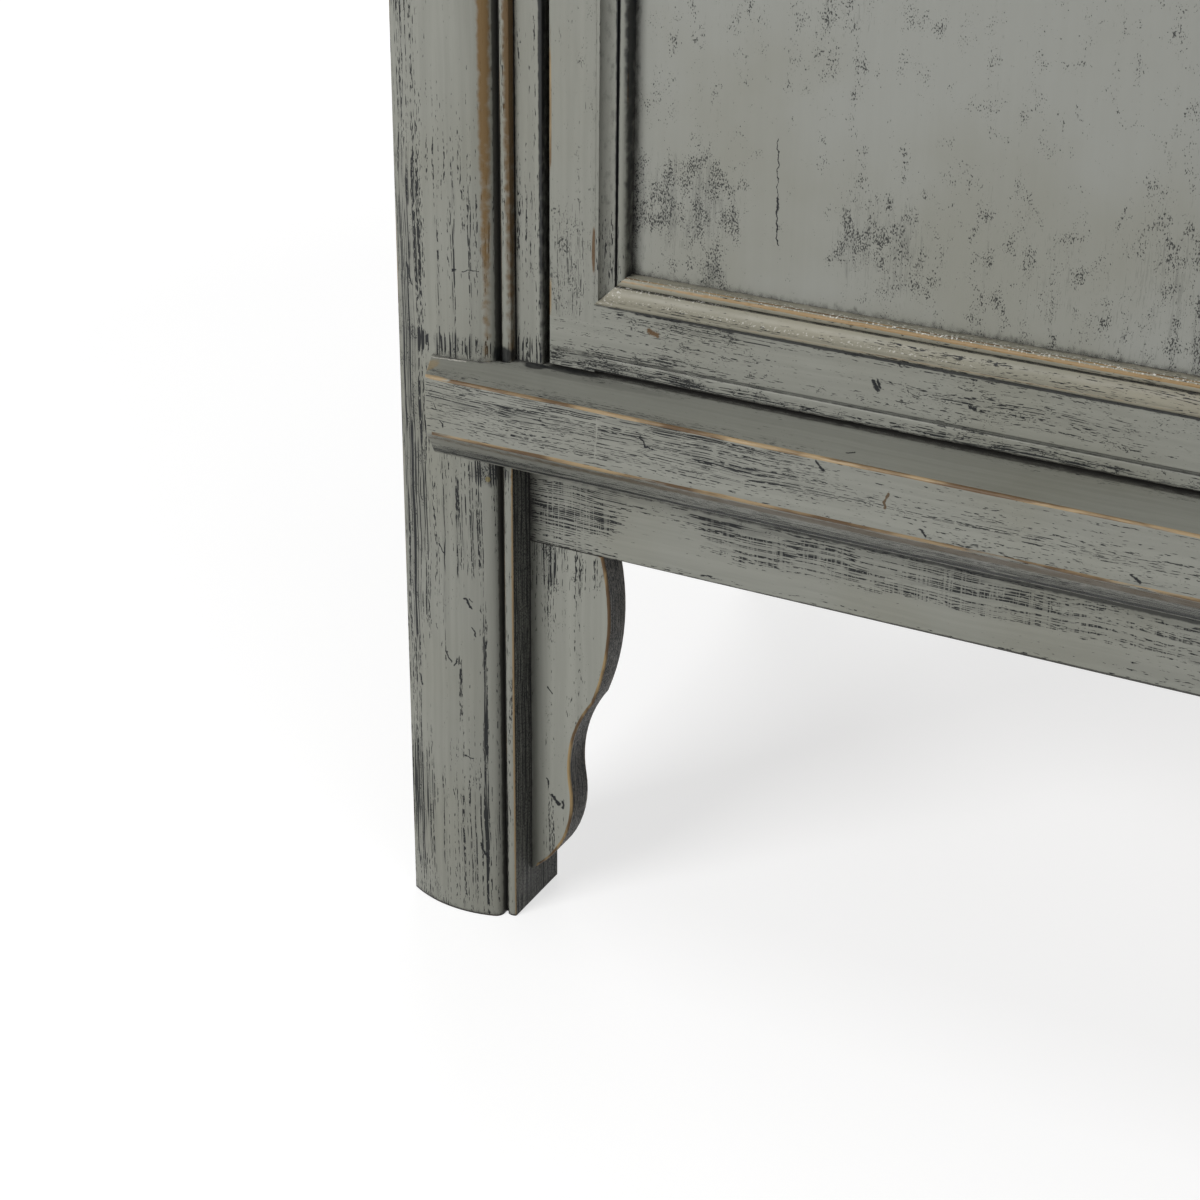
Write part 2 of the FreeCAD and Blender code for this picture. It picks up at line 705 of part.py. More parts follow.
def knuckle(name, side, z, length):
    return rod(name, "z", "hinge_radius", (mirrored(side, HINGE_X), HINGE_Y, z), length)


frame_leaves = []
hinge_pins = []
frame_nails = []
jamb_holes = {"left": [], "right": []}
door_leaves = {"left": [], "right": []}
door_nails = {"left": [], "right": []}
door_holes = {"left": [], "right": []}
for label, side in SIDES:
    for level, share in HINGE_SHARES:
        name = f"{level}_{label}"
        middle = hinge_middle(share)
        low = f"{middle} - hinge_height / 2"
        high = f"{middle} + hinge_height / 2"
        low_third = f"{middle} - hinge_height / 6"
        high_third = f"{middle} + hinge_height / 6"
        frame_x = "leg_inner - frame_leaf_margin"
        door_x = "stile_outer_edge + door_leaf_margin"
        bore = rod(f"hinge_bore_{name}", "z", "hinge_pin_radius + pin_clearance",
                   (mirrored(side, HINGE_X), HINGE_Y, f"{low} - overrun"), "hinge_height + 2 * overrun")
        x_frame = mirrored(side, f"{frame_x} - nail_inset / 2")
        x_door = mirrored(side, f"{door_x} + nail_inset")
        holes = []
        for end, z in (("a", f"{low} + nail_inset"), ("b", f"{high} - nail_inset")):
            face = "door_face - leaf_thick"
            frame_nails.append(nail(f"frame_nail_{name}_{end}", x_frame, z, face))
            door_nails[label].append(nail(f"door_nail_{name}_{end}", x_door, z, face))
            jamb_holes[label].append(nail_hole(f"jamb_hole_{name}_{end}", x_frame, z, face))
            door_holes[label].append(nail_hole(f"door_hole_{name}_{end}", x_door, z, face))
        fixed = fuse(f"frame_leaf_{name}_whole", [
            leaf(f"frame_leaf_{name}_plate", side, f"{HINGE_X} + {HINGE_CLEAR}", frame_x, (low, high)),
            leaf(f"frame_leaf_{name}_low", side, HINGE_X, frame_x, (low, f"{low_third} - knuckle_gap / 2")),
            leaf(f"frame_leaf_{name}_high", side, HINGE_X, frame_x,
                 (f"{high_third} + knuckle_gap / 2", high)),
            knuckle(f"frame_knuckle_{name}_low", side, low, "hinge_height / 3 - knuckle_gap / 2"),
            knuckle(f"frame_knuckle_{name}_high", side, f"{high_third} + knuckle_gap / 2",
                    "hinge_height / 3 - knuckle_gap / 2"),
        ])
        frame_leaves.append(cut(f"frame_leaf_{name}", fixed, [bore] + jamb_holes[label][-2:]))
        moving = fuse(f"door_leaf_{name}_whole", [
            leaf(f"door_leaf_{name}_plate", side, door_x, f"{HINGE_X} - ({HINGE_CLEAR})", (low, high)),
            leaf(f"door_leaf_{name}_middle", side, door_x, HINGE_X,
                 (f"{low_third} + knuckle_gap / 2", f"{high_third} - knuckle_gap / 2")),
            knuckle(f"door_knuckle_{name}", side, f"{low_third} + knuckle_gap / 2",
                    "hinge_height / 3 - knuckle_gap"),
        ])
        door_leaves[label].append(cut(f"door_leaf_{name}", moving, [bore] + door_holes[label][-2:]))
        hinge_pins.append(rod(f"hinge_pin_{name}", "z", "hinge_pin_radius",
                              (mirrored(side, HINGE_X), HINGE_Y, low), "hinge_height"))
keep(group("hinge_frame_leaves", frame_leaves), "hinge_frame_leaves")
keep(group("hinge_pins", hinge_pins), "hinge_pins")
keep(group("hinge_frame_nails", frame_nails), "hinge_frame_nails")

# Jamb strips between the legs and the doors
for label, side in SIDES:
    strip = box(f"jamb_strip_{label}_blank", span(side, "jamb_inner", "leg_inner"),
                ("door_face", "door_face + jamb_depth"), ("ledge_top", "door_head_bottom"))
    keep(cut(f"jamb_strip_{label}", strip, jamb_holes[label]), f"jamb_strip_{label}")

# Stop behind the heads of the doors
keep(box("door_stop", ("-jamb_inner", "jamb_inner"),
         ("door_back + stop_gap", "door_back + stop_gap + stop_thick"),
         ("door_head_bottom - stop_drop", "door_head_bottom")), "door_stop")

# Doors: two stiles, two rails, a panel in their grooves and a mitred moulding in front of it
PULL_X = "door_inner + stile_width / 2"
PULL_Z = "door_bottom + door_height / 2 + pull_rise"
PULL_FRONT = "door_face - pull_plate_thick"
PULL_PIN_Y = "door_face - pull_plate_thick - pull_reach"
LUG_NEAR = "pull_eye_width / 2 + pull_play"

# The moulding's section: a proud roll, a hollow, a quirk and a bead, and then the drop to the
# panel. Each row has a share of the moulding's width from the frame and a depth behind the
# door's face, and the same two for the point that an arc to the next row passes.
MOULDING_SHARES = (
    (0.0, "0", 0.06, "-0.85 * mould_proud"),
    (0.18, "-mould_proud", 0.38, "0.6 * mould_cove_depth"),
    (0.62, "mould_cove_depth"),
    (0.66, "mould_quirk_depth", 0.83, "mould_bead_depth"),
    (1.0, "mould_inner_depth"),
    (1.0, "door_panel_recess"),
    (0.0, "door_panel_recess"),
)


def moulding_section(edge, inward, upright):
    """Corners across the moulding from the frame's edge; inward is + or - along the axis."""
    corners = []
    for row in MOULDING_SHARES:
        points = []
        for share, depth in (row[:2], row[2:]) if len(row) > 2 else (row,):
            across = f"{edge} {inward} {share} * mould_width"
            behind = f"door_face + ({depth})"
            points.append((across, behind) if upright else (behind, across))
        corners.append((*points[0], *points[1:]))
    return corners


# The drop's outline: shares of its length where the neck ends and where it is widest
DROP_SHARES = (0.3, 0.76)

for label, side in SIDES:
    groove_ys = grown("door_panel_face", "door_panel_back")
    panel_ys = ("door_panel_face", "door_panel_back")
    sill_tenon = ("door_bottom + door_tenon_shoulder", "sill_top - door_groove - panel_play - glue_gap")
    lintel_tenon = ("lintel_bottom + door_groove + panel_play + glue_gap", "door_top - door_tenon_shoulder")
    opening = ("sill_top - door_groove - panel_play", "lintel_bottom + door_groove + panel_play")

    plate_nails = []
    for end, z in (("a", f"{PULL_Z} + pull_plate_height / 2 - nail_inset / 2"),
                   ("b", f"{PULL_Z} - pull_plate_height / 2 + nail_inset / 2")):
        x = mirrored(side, PULL_X)
        door_nails[label].append(nail(f"pull_nail_{label}_{end}", x, z, PULL_FRONT))
        plate_nails.append(nail_hole(f"pull_nail_hole_{label}_{end}", x, z, PULL_FRONT))

    for part, near, far, toward, more in (
        ("hinge_stile", "stile_outer_edge", "door_outer", -1, door_holes[label]),
        ("meeting_stile", "door_inner", "stile_inner_edge", 1, plate_nails),
    ):
        blank = box(f"door_{label}_{part}_blank", span(side, near, far), ("door_face", "door_back"),
                    ("door_bottom", "door_top"))
        if toward > 0:
            groove_xs = span(side, f"{far} - door_groove - panel_play", f"{far} + overrun")
            mortise_xs = span(side, f"{far} - door_tenon_length - glue_gap", f"{far} + overrun")
        else:
            groove_xs = span(side, f"{near} - overrun", f"{near} + door_groove + panel_play")
            mortise_xs = span(side, f"{near} - overrun", f"{near} + door_tenon_length + glue_gap")
        tools = [
            box(f"door_{label}_{part}_groove", groove_xs, groove_ys, opening),
            box(f"door_{label}_{part}_mortise_low", mortise_xs, groove_ys, grown(*sill_tenon)),
            box(f"door_{label}_{part}_mortise_high", mortise_xs, groove_ys, grown(*lintel_tenon)),
        ]
        keep(cut(f"door_{label}_{part}", blank, tools + list(more)), f"door_{label}_{part}")

    for part, low, high, tenon, groove in (
        ("bottom_rail", "door_bottom", "sill_top", sill_tenon,
         ("sill_top - door_groove - panel_play", "sill_top + overrun")),
        ("top_rail", "lintel_bottom", "door_top", lintel_tenon,
         ("lintel_bottom - overrun", "lintel_bottom + door_groove + panel_play")),
    ):
        rail = fuse(f"door_{label}_{part}_tenoned", [
            box(f"door_{label}_{part}_blank", span(side, "stile_inner_edge", "stile_outer_edge"),
                ("door_face", "door_back"), (low, high)),
            box(f"door_{label}_{part}_tenon",
                span(side, "stile_inner_edge - door_tenon_length", "stile_outer_edge + door_tenon_length"),
                panel_ys, tenon),
        ])
        slot = box(f"door_{label}_{part}_groove",
                   span(side, "stile_inner_edge - door_groove", "stile_outer_edge + door_groove"),
                   groove_ys, groove)
        keep(cut(f"door_{label}_{part}", rail, [slot]), f"door_{label}_{part}")

    keep(box(f"door_{label}_panel",
             span(side, "stile_inner_edge - door_groove", "stile_outer_edge + door_groove"),
             panel_ys, ("sill_top - door_groove", "lintel_bottom + door_groove")), f"door_{label}_panel")

    strips = []
    z_low, z_high = "sill_top", "lintel_bottom"
    u_low, u_high = span(side, "stile_inner_edge", "stile_outer_edge")
    for part, edge, inward, upright in (
        ("left", u_low, "+", True), ("right", u_high, "-", True),
        ("bottom", z_low, "+", False), ("top", z_high, "-", False),
    ):
        corners = moulding_section(edge, inward, upright)
        name = f"door_{label}_moulding_{part}"
        if upright:
            run = padded(name + "_run", "XY", corners, f"{z_low} - overrun", f"{z_high} + overrun")
            mitre = [(edge, z_low), (f"{edge} {inward} mould_width", f"{z_low} + mould_width"),
                     (f"{edge} {inward} mould_width", f"{z_high} - mould_width"), (edge, z_high)]
        else:
            run = padded(name + "_run", "YZ", corners, f"{u_low} - overrun", f"{u_high} + overrun")
            mitre = [(u_low, edge), (u_high, edge),
                     (f"{u_high} - mould_width", f"{edge} {inward} mould_width"),
                     (f"{u_low} + mould_width", f"{edge} {inward} mould_width")]
        block = padded(name + "_mitre", "XZ", mitre, "door_face - mould_proud - overrun",
                       "door_face + door_panel_recess + overrun")
        strips.append(common(name, run, block))
    keep(group(f"door_{label}_moulding", strips), f"door_{label}_moulding")
    keep(group(f"door_{label}_hinge_leaves", door_leaves[label]), f"door_{label}_hinge_leaves")

    # Plate with two lugs, the pin across them and the drop that hangs between them
    middle = mirrored(side, PULL_X)
    plate = box(f"pull_plate_{label}_blank",
                (f"{middle} - pull_plate_width / 2", f"{middle} + pull_plate_width / 2"),
                (PULL_FRONT, "door_face"),
                (f"{PULL_Z} - pull_plate_height / 2", f"{PULL_Z} + pull_plate_height / 2"))
    lugs = []
    lug_starts = (f"{middle} - ({LUG_NEAR}) - pull_lug_thick", f"{middle} + {LUG_NEAR}")
    for hand, start in zip("ab", lug_starts):
        lugs.append(box(f"pull_lug_{label}_{hand}", (start, f"{start} + pull_lug_thick"),
                        (PULL_PIN_Y, PULL_FRONT),
                        (f"{PULL_Z} - pull_lug_radius", f"{PULL_Z} + pull_lug_radius")))
        lugs.append(rod(f"pull_lug_end_{label}_{hand}", "x", "pull_lug_radius", (start, PULL_PIN_Y, PULL_Z),
                        "pull_lug_thick"))
    pin_bore = rod(f"pull_bore_{label}", "x", "hinge_pin_radius + pin_clearance",
                   (f"{middle} - pull_plate_width", PULL_PIN_Y, PULL_Z), "2 * pull_plate_width")
    keep(cut(f"door_{label}_pull_plate", fuse(f"pull_plate_{label}_whole", [plate] + lugs),
             [pin_bore] + plate_nails), f"door_{label}_pull_plate")
    keep(rod(f"door_{label}_pull_pin", "x", "hinge_pin_radius",
             (f"{middle} - ({LUG_NEAR}) - pull_lug_thick", PULL_PIN_Y, PULL_Z),
             f"2 * ({LUG_NEAR} + pull_lug_thick)"), f"door_{label}_pull_pin")
    tip = f"{PULL_Z} - pull_length"
    neck_end = f"{PULL_Z} - {DROP_SHARES[0]} * pull_length"
    widest = f"{PULL_Z} - {DROP_SHARES[1]} * pull_length"
    drop = padded(f"pull_drop_{label}", "XZ", [
        (f"{middle} - pull_neck_width / 2", PULL_Z),
        (f"{middle} - pull_neck_width / 2", neck_end),
        (f"{middle} - pull_drop_width / 2", widest, (middle, tip)),
        (f"{middle} + pull_drop_width / 2", widest),
        (f"{middle} + pull_neck_width / 2", neck_end),
        (f"{middle} + pull_neck_width / 2", PULL_Z),
    ], f"{PULL_PIN_Y} - pull_thick / 2", f"{PULL_PIN_Y} + pull_thick / 2")
    eye = rod(f"pull_eye_{label}", "x", "pull_eye_radius",
              (f"{middle} - pull_eye_width / 2", PULL_PIN_Y, PULL_Z), "pull_eye_width")
    keep(cut(f"pull_{label}", fuse(f"pull_{label}_whole", [drop, eye]), [pin_bore]), f"pull_{label}")
    keep(group(f"door_{label}_nails", door_nails[label]), f"door_{label}_nails")

# Top: a mitred frame with a moulded edge round a flush panel, and battens under the panel.
# The hollow under the edge passes through a point at shares of its inset and of its height.
HOLLOW_SHARES = (0.35, 0.55)


def top_section(outer, inward):
    """The member's section from its outer edge: flat edge, hollow slope, groove for the panel."""
    inner = f"{outer} {inward} top_member_width"
    floor = f"{outer} {inward} (top_member_width - top_groove_depth - panel_play)"
    low = "top_panel_bottom - glue_gap"
    high = "top_panel_bottom + top_groove_height + glue_gap"
    return [
        (outer, "overall_height"),
        (outer, "overall_height - top_edge_height",
         (f"{outer} {inward} {HOLLOW_SHARES[0]} * top_edge_inset",
          f"overall_height - top_edge_height - {HOLLOW_SHARES[1]} * (top_thick - top_edge_height)")),
        (f"{outer} {inward} top_edge_inset", "carcass_top"),
        (inner, "carcass_top"), (inner, low), (floor, low), (floor, high), (inner, high),
        (inner, "overall_height"),
    ]


def top_mitre(name, corners):
    return padded(name, "XY", corners, "carcass_top - overrun", "overall_height + overrun")


stub_holes = {"front": [], "back": []}
for label, side in SIDES:
    xs = span(side, "leg_inner + stub_inset - glue_gap", "leg_inner + stub_inset + stub_width + glue_gap")
    zs = ("carcass_top - overrun", "carcass_top + stub_height + glue_gap")
    front_ys = grown("front_plane + stub_inset", "front_plane + stub_inset + stub_depth")
    back_ys = grown("rear_plane - stub_inset - stub_depth", "rear_plane - stub_inset")
    stub_holes["front"].append(box(f"stub_hole_front_{label}", xs, front_ys, zs))
    stub_holes["back"].append(box(f"stub_hole_back_{label}", xs, back_ys, zs))
for part, outer, inward, open_y in (
    ("front", "ledge_face", "+", "-top_open_y"), ("back", "top_back", "-", "top_open_y"),
):
    member = padded(f"top_{part}_run", "YZ", top_section(outer, inward),
                    "-top_half_width - overrun", "top_half_width + overrun")
    plan = top_mitre(f"top_{part}_mitre", [
        ("-top_half_width", outer), ("top_half_width", outer),
        ("top_open_x", open_y), ("-top_open_x", open_y),
    ])
    keep(cut(f"top_frame_{part}", common(f"top_{part}_mitred", member, plan), stub_holes[part]),
         f"top_frame_{part}")
top_ends = []
for label, side in SIDES:
    outer = mirrored(side, "top_half_width")
    open_x = mirrored(side, "top_open_x")
    member = padded(f"top_end_run_{label}", "XZ", top_section(outer, "-" if side > 0 else "+"),
                    "ledge_face - overrun", "top_back + overrun")
    plan = top_mitre(f"top_end_mitre_{label}", [
        (outer, "ledge_face"), (outer, "top_back"), (open_x, "top_open_y"), (open_x, "-top_open_y"),
    ])
    at = 0 if label == "left" else 1
    top_ends.append(cut(f"top_end_{label}", common(f"top_end_{label}_mitred", member, plan),
                        [stub_holes["front"][at], stub_holes["back"][at]]))
keep(group("top_frame_ends", top_ends), "top_frame_ends")
keep(fuse("top_panel", [
    box("top_panel_flush", ("-top_open_x + panel_play", "top_open_x - panel_play"),
        ("-top_open_y + panel_play", "top_open_y - panel_play"), ("top_panel_bottom", "overall_height")),
    box("top_panel_tongue", ("-top_open_x - top_groove_depth", "top_open_x + top_groove_depth"),
        ("-top_open_y - top_groove_depth", "top_open_y + top_groove_depth"),
        ("top_panel_bottom", "top_panel_bottom + top_groove_height")),
]), "top_panel")
battens = [
    box(f"top_batten_{label}",
        span(side, "top_open_x / 2 - batten_width / 2", "top_open_x / 2 + batten_width / 2"),
        ("-top_open_y", "top_open_y"), ("carcass_top", "top_panel_bottom"))
    for label, side in SIDES
]
keep(group("top_battens", battens), "top_battens")
keep(group("wooden_pegs", pegs), "wooden_pegs")

doc.recompute()
for item in doc.Objects:
    if "Invalid" in item.State or "Error" in item.State:
        raise RuntimeError(f"{item.Name} could not be built: {item.State}")
for node in nodes:
    if node.Shape.isNull() or not node.Shape.isValid() or not node.Shape.Solids:
        raise RuntimeError(f"{node.Label} has no valid solid")

os.makedirs("parts", exist_ok=True)
for node in nodes:
    node.Shape.exportStep(f"parts/{node.Label}.step")
print(len(nodes), "parts,", sum(len(node.Shape.Solids) for node in nodes), "solids")
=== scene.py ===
import json
import math

import bmesh
import bpy
from mathutils import Matrix, Vector, noise

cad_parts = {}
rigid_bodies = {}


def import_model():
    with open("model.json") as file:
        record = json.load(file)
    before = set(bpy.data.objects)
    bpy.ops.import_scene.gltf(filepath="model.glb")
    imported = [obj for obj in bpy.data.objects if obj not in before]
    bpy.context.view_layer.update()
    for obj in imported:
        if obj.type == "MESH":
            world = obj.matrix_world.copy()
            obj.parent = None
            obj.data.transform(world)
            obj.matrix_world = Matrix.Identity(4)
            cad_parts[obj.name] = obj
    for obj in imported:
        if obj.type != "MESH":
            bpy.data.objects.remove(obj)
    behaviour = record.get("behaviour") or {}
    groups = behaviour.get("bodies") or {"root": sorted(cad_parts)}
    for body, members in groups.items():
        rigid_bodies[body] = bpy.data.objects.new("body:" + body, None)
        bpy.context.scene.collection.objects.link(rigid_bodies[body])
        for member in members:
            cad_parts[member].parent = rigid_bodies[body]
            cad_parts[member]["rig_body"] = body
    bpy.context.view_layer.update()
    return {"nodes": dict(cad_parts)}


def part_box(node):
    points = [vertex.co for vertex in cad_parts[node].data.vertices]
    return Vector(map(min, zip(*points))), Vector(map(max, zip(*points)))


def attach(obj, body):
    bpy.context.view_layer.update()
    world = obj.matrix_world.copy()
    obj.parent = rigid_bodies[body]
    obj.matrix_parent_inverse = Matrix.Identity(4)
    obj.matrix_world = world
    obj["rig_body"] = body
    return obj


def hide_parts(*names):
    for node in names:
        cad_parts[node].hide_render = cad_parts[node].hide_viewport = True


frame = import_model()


# The view. The camera stands a little over a metre in front of the left leg and to the
# right of it, and looks down at the corner of the cabinet through a long lens.
camera = bpy.data.objects.new("view", bpy.data.cameras.new("view"))
bpy.context.scene.collection.objects.link(camera)
camera.data.lens = 74.7
camera.data.sensor_width = 36
STAND = (0.1219, -1.16915, 0.7371)
SWING, RAISE, TILT = (math.radians(angle) for angle in (27.3, 63.1, 0.476))
camera.matrix_world = (
    Matrix.Translation(STAND) @ Matrix.Rotation(SWING, 4, "Z")
    @ Matrix.Rotation(RAISE, 4, "X") @ Matrix.Rotation(TILT, 4, "Z")
)
bpy.context.scene.camera = camera


# The studio: a white floor that keeps a soft shadow, a white surround, one large lamp at
# the front left and weaker ones for the right, the back and the top.
def put(tree, kind, inputs=None, output=0, **settings):
    """Adds one shader node, fed with values or sockets, and returns one of its outputs."""
    made = tree.nodes.new("ShaderNode" + kind)
    for name, value in settings.items():
        setattr(made, name, value)
    for name, value in (inputs or {}).items():
        if isinstance(value, bpy.types.NodeSocket):
            tree.links.new(value, made.inputs[name])
        else:
            made.inputs[name].default_value = value
    return made.outputs[output]


def plus(tree, a, b, operation="ADD"):
    """The sum of two values, or what another operation makes of them."""
    return put(tree, "Math", {0: a, 1: b}, operation=operation)


def times(tree, a, b):
    return plus(tree, a, b, "MULTIPLY")


def seen_directly(tree):
    """1 for what the camera, a reflection or glass sees, and 0 for the light on the object."""
    ways = ("Camera", "Glossy", "Transmission")
    camera, glossy, clear = (put(tree, "LightPath", output=f"Is {way} Ray") for way in ways)
    return plus(tree, plus(tree, camera, glossy, "MAXIMUM"), clear, "MAXIMUM")


def lamp(name, place, aim, width, power):
    made = bpy.data.objects.new(name, bpy.data.lights.new(name, "AREA"))
    bpy.context.scene.collection.objects.link(made)
    made.data.shape = "SQUARE"
    made.data.size = width
    made.data.energy = power
    made.location = place
    made.rotation_euler = (Vector(aim) - Vector(place)).to_track_quat("-Z", "Y").to_euler()


bpy.context.scene.view_settings.view_transform = "Standard"
world = bpy.data.worlds.new("surround")
bpy.context.scene.world = world
world.use_nodes = True
surround = world.node_tree
surround.nodes["Background"].inputs["Color"].default_value = (1, 1, 1, 1)
surround.links.new(
    put(surround, "MapRange", {"Value": seen_directly(surround), "To Min": 0.15, "To Max": 1.0}),
    surround.nodes["Background"].inputs["Strength"],
)

FLOOR_SIZE = 14
FLOOR_GREY = (0.48, 0.48, 0.48, 1)
bpy.ops.mesh.primitive_plane_add(size=FLOOR_SIZE, location=(0, 0, 0))
floor = bpy.context.object
floor.name = "studio_floor"
floor_paint = bpy.data.materials.new("white floor")
floor_paint.use_nodes = True
tree = floor_paint.node_tree
tree.nodes.remove(tree.nodes["Principled BSDF"])
matt = put(tree, "BsdfDiffuse", {"Color": FLOOR_GREY})
# The floor is shaded near the object and runs out to plain white away from it.
away = put(tree, "VectorMath", {0: put(tree, "TexCoord", output="Object")}, output=1, operation="LENGTH")
fade = {"Value": away, "From Min": 1.2, "From Max": 4.5, "To Min": 0.66, "To Max": 1.0}
glow = put(tree, "MapRange", fade)
lift = put(tree, "Emission", {"Strength": times(tree, seen_directly(tree), glow)})
tree.links.new(put(tree, "AddShader", {0: matt, 1: lift}), tree.nodes["Material Output"].inputs["Surface"])
floor.data.materials.append(floor_paint)

lamp("front left lamp", (-1.45, -2.7, 1.5), (-0.3, -0.2, 0.55), width=1.5, power=74)
lamp("front right lamp", (2.4, -2.2, 1.6), (0, 0, 0.6), width=1.8, power=9)
lamp("back lamp", (-1.6, 3.0, 1.7), (0, 0, 0.6), width=2.4, power=34)
lamp("top lamp", (0, -0.3, 3.4), (0, 0, 1), width=1.8, power=28)


# Front legs. Squared elm posts whose front face is planed to a low cushion, with a groove
# and a bead at the inner arris. Their lacquer is rubbed through to brown wood there, and
# black glaze stands in the groove and in the open pores.
MM = 0.001  # Places, outlines and hand-planed dips are in mm; steps, rings and arrises in metres.
LEG_INSIDE, LEG_OUTSIDE, LEG_BACK, LEG_TOP = 414, 475, -177.75, 1170
DOOR_FACE = -218.75
LEDGE_TOP = 310
# The least turn of a corner or an arris, how nearly two directions agree, and a hair's breadth.
SHARP = math.radians(25)
NEARLY = 0.9
CLOSE = 1e-6


def arc(start, through, end, count):
    """Points of the arc from start to end in a plane, without start."""
    (ax, ay), (bx, by), (cx, cy) = start, through, end
    d = 2 * (ax * (by - cy) + bx * (cy - ay) + cx * (ay - by))
    a2, b2, c2 = ax * ax + ay * ay, bx * bx + by * by, cx * cx + cy * cy
    ux = (a2 * (by - cy) + b2 * (cy - ay) + c2 * (ay - by)) / d
    uy = (a2 * (cx - bx) + b2 * (ax - cx) + c2 * (bx - ax)) / d
    radius = math.hypot(ax - ux, ay - uy)
    first, middle, last = (math.atan2(y - uy, x - ux) for x, y in (start, through, end))
    turn = (last - first) % math.tau
    if (middle - first) % math.tau > turn:
        turn -= math.tau
    angles = [first + turn * i / count for i in range(1, count + 1)]
    return [(ux + radius * math.cos(a), uy + radius * math.sin(a)) for a in angles]


def lying(points, plane, across):
    """An outline in mm, laid in the XY, XZ or YZ plane at a height across it, in metres."""
    spots = {"XY": lambda u, v: (u, v, across), "XZ": lambda u, v: (u, across, v),
             "YZ": lambda u, v: (across, u, v)}[plane]
    return [Vector(spots(u, v)) * MM for u, v in points]


def ringed(corners, ring=0.0025, pitch=0.03):
    """The outline with a point close to each sharp corner and more at pitch along its sides."""
    points = []
    count = len(corners)
    for i, here in enumerate(corners):
        before, after, beyond = corners[i - 1], corners[(i + 1) % count], corners[(i + 2) % count]
        side = after - here
        short = min(ring, 0.4 * side.length)
        start = short if (here - before).angle(side) > SHARP else 0.0
        end = side.length - (short if side.angle(beyond - after) > SHARP else 0.0)
        spans = max(1, round((end - start) / pitch))
        stops = [start + (end - start) * k / spans for k in range(spans + 1)]
        points.append(here)
        points += [here + side.normalized() * s for s in stops if CLOSE < s < side.length - CLOSE]
    return points


def strides(length, pitch=0.03, ring=0.0025):
    """A length cut into a short step at each end and equal steps between them."""
    middle = length - 2 * ring
    count = max(1, round(middle / pitch))
    return [ring] + [middle / count] * count + [ring]


def alone(piece):
    bpy.ops.object.select_all(action="DESELECT")
    piece.select_set(True)
    bpy.context.view_layer.objects.active = piece


def drawn(name, outline, direction, steps, inset=0.0):
    """Draws a closed outline point by point, fills it and draws it out in steps."""
    bpy.ops.object.select_all(action="DESELECT")
    bpy.ops.mesh.primitive_plane_add(size=MM, location=outline[0])
    piece = bpy.context.object
    piece.name = piece.data.name = name
    bpy.ops.object.mode_set(mode="EDIT")
    bpy.ops.mesh.select_mode(type="VERT")
    bpy.ops.mesh.select_all(action="SELECT")
    bpy.ops.mesh.merge(type="CENTER")
    for here, there in zip(outline, outline[1:]):
        bpy.ops.mesh.extrude_vertices_move(TRANSFORM_OT_translate={"value": there - here})
    bpy.ops.mesh.select_all(action="SELECT")
    bpy.ops.mesh.edge_face_add()
    for step in steps:
        bpy.ops.mesh.extrude_region_move(TRANSFORM_OT_translate={"value": direction * step})
    bpy.ops.mesh.select_all(action="SELECT")
    bpy.ops.mesh.normals_make_consistent(inside=False)
    if inset:
        bpy.ops.mesh.select_mode(type="FACE")
        for way in (1, -1):
            bpy.ops.mesh.select_all(action="DESELECT")
            form = bmesh.from_edit_mesh(piece.data)
            for face in form.faces:
                is_end = len(face.verts) == len(outline) and face.normal.dot(direction) * way > NEARLY
                face.select_set(is_end)
            bmesh.update_edit_mesh(piece.data)
            bpy.ops.mesh.inset(thickness=inset)
    bpy.ops.object.mode_set(mode="OBJECT")
    bpy.ops.object.transform_apply(location=True, rotation=True, scale=True)
    return piece


def ease(piece, width, along=None, where=None, worn=1.0, clamp=True):
    """Rounds the arrises, or those along one direction, and notes them as rubbed."""
    alone(piece)
    bpy.ops.object.mode_set(mode="EDIT")
    bpy.ops.mesh.select_mode(type="EDGE")
    bpy.ops.mesh.select_all(action="DESELECT")
    form = bmesh.from_edit_mesh(piece.data)
    for edge in form.edges:
        if len(edge.link_faces) != 2 or not edge.is_convex or edge.calc_face_angle() < SHARP:
            continue
        run = (edge.verts[1].co - edge.verts[0].co).normalized()
        middle = (edge.verts[1].co + edge.verts[0].co) / 2
        if (along is None or abs(run.dot(along)) > NEARLY) and (where is None or where(middle)):
            edge.select_set(True)
    bmesh.update_edit_mesh(piece.data)
    bpy.ops.mesh.bevel(offset=width, segments=3, affect="EDGES", clamp_overlap=clamp)
    bpy.ops.object.mode_set(mode="OBJECT")
    mesh = piece.data
    wear = mesh.attributes.get("wear") or mesh.attributes.new("wear", "FLOAT", "POINT")
    for vertex, mark in zip(mesh.vertices, wear.data):
        if vertex.select:
            mark.value = worn


LARGE_FACE_CORNERS = 12
ARRIS_DIP_SHARE = 0.3


def handworked(piece, depth=0.2, pitch=32):
    """Lets the surface dip by up to depth in mm, as a hand plane leaves it. The arrises dip less,
    and the corners of a large flat face keep their place, so that it stays flat."""
    mesh = piece.data
    large = [face for face in mesh.polygons if len(face.vertices) > LARGE_FACE_CORNERS]
    held = {corner for face in large for corner in face.vertices}
    waves = [noise.noise(vertex.co / (pitch * MM)) for vertex in mesh.vertices]
    dips = [vertex.normal * depth * MM * (0.5 + 0.5 * wave) for vertex, wave in zip(mesh.vertices, waves)]
    for vertex, dip, mark in zip(mesh.vertices, dips, mesh.attributes["wear"].data):
        if vertex.index not in held:
            vertex.co -= dip * (ARRIS_DIP_SHARE if mark.value > 0 else 1.0)


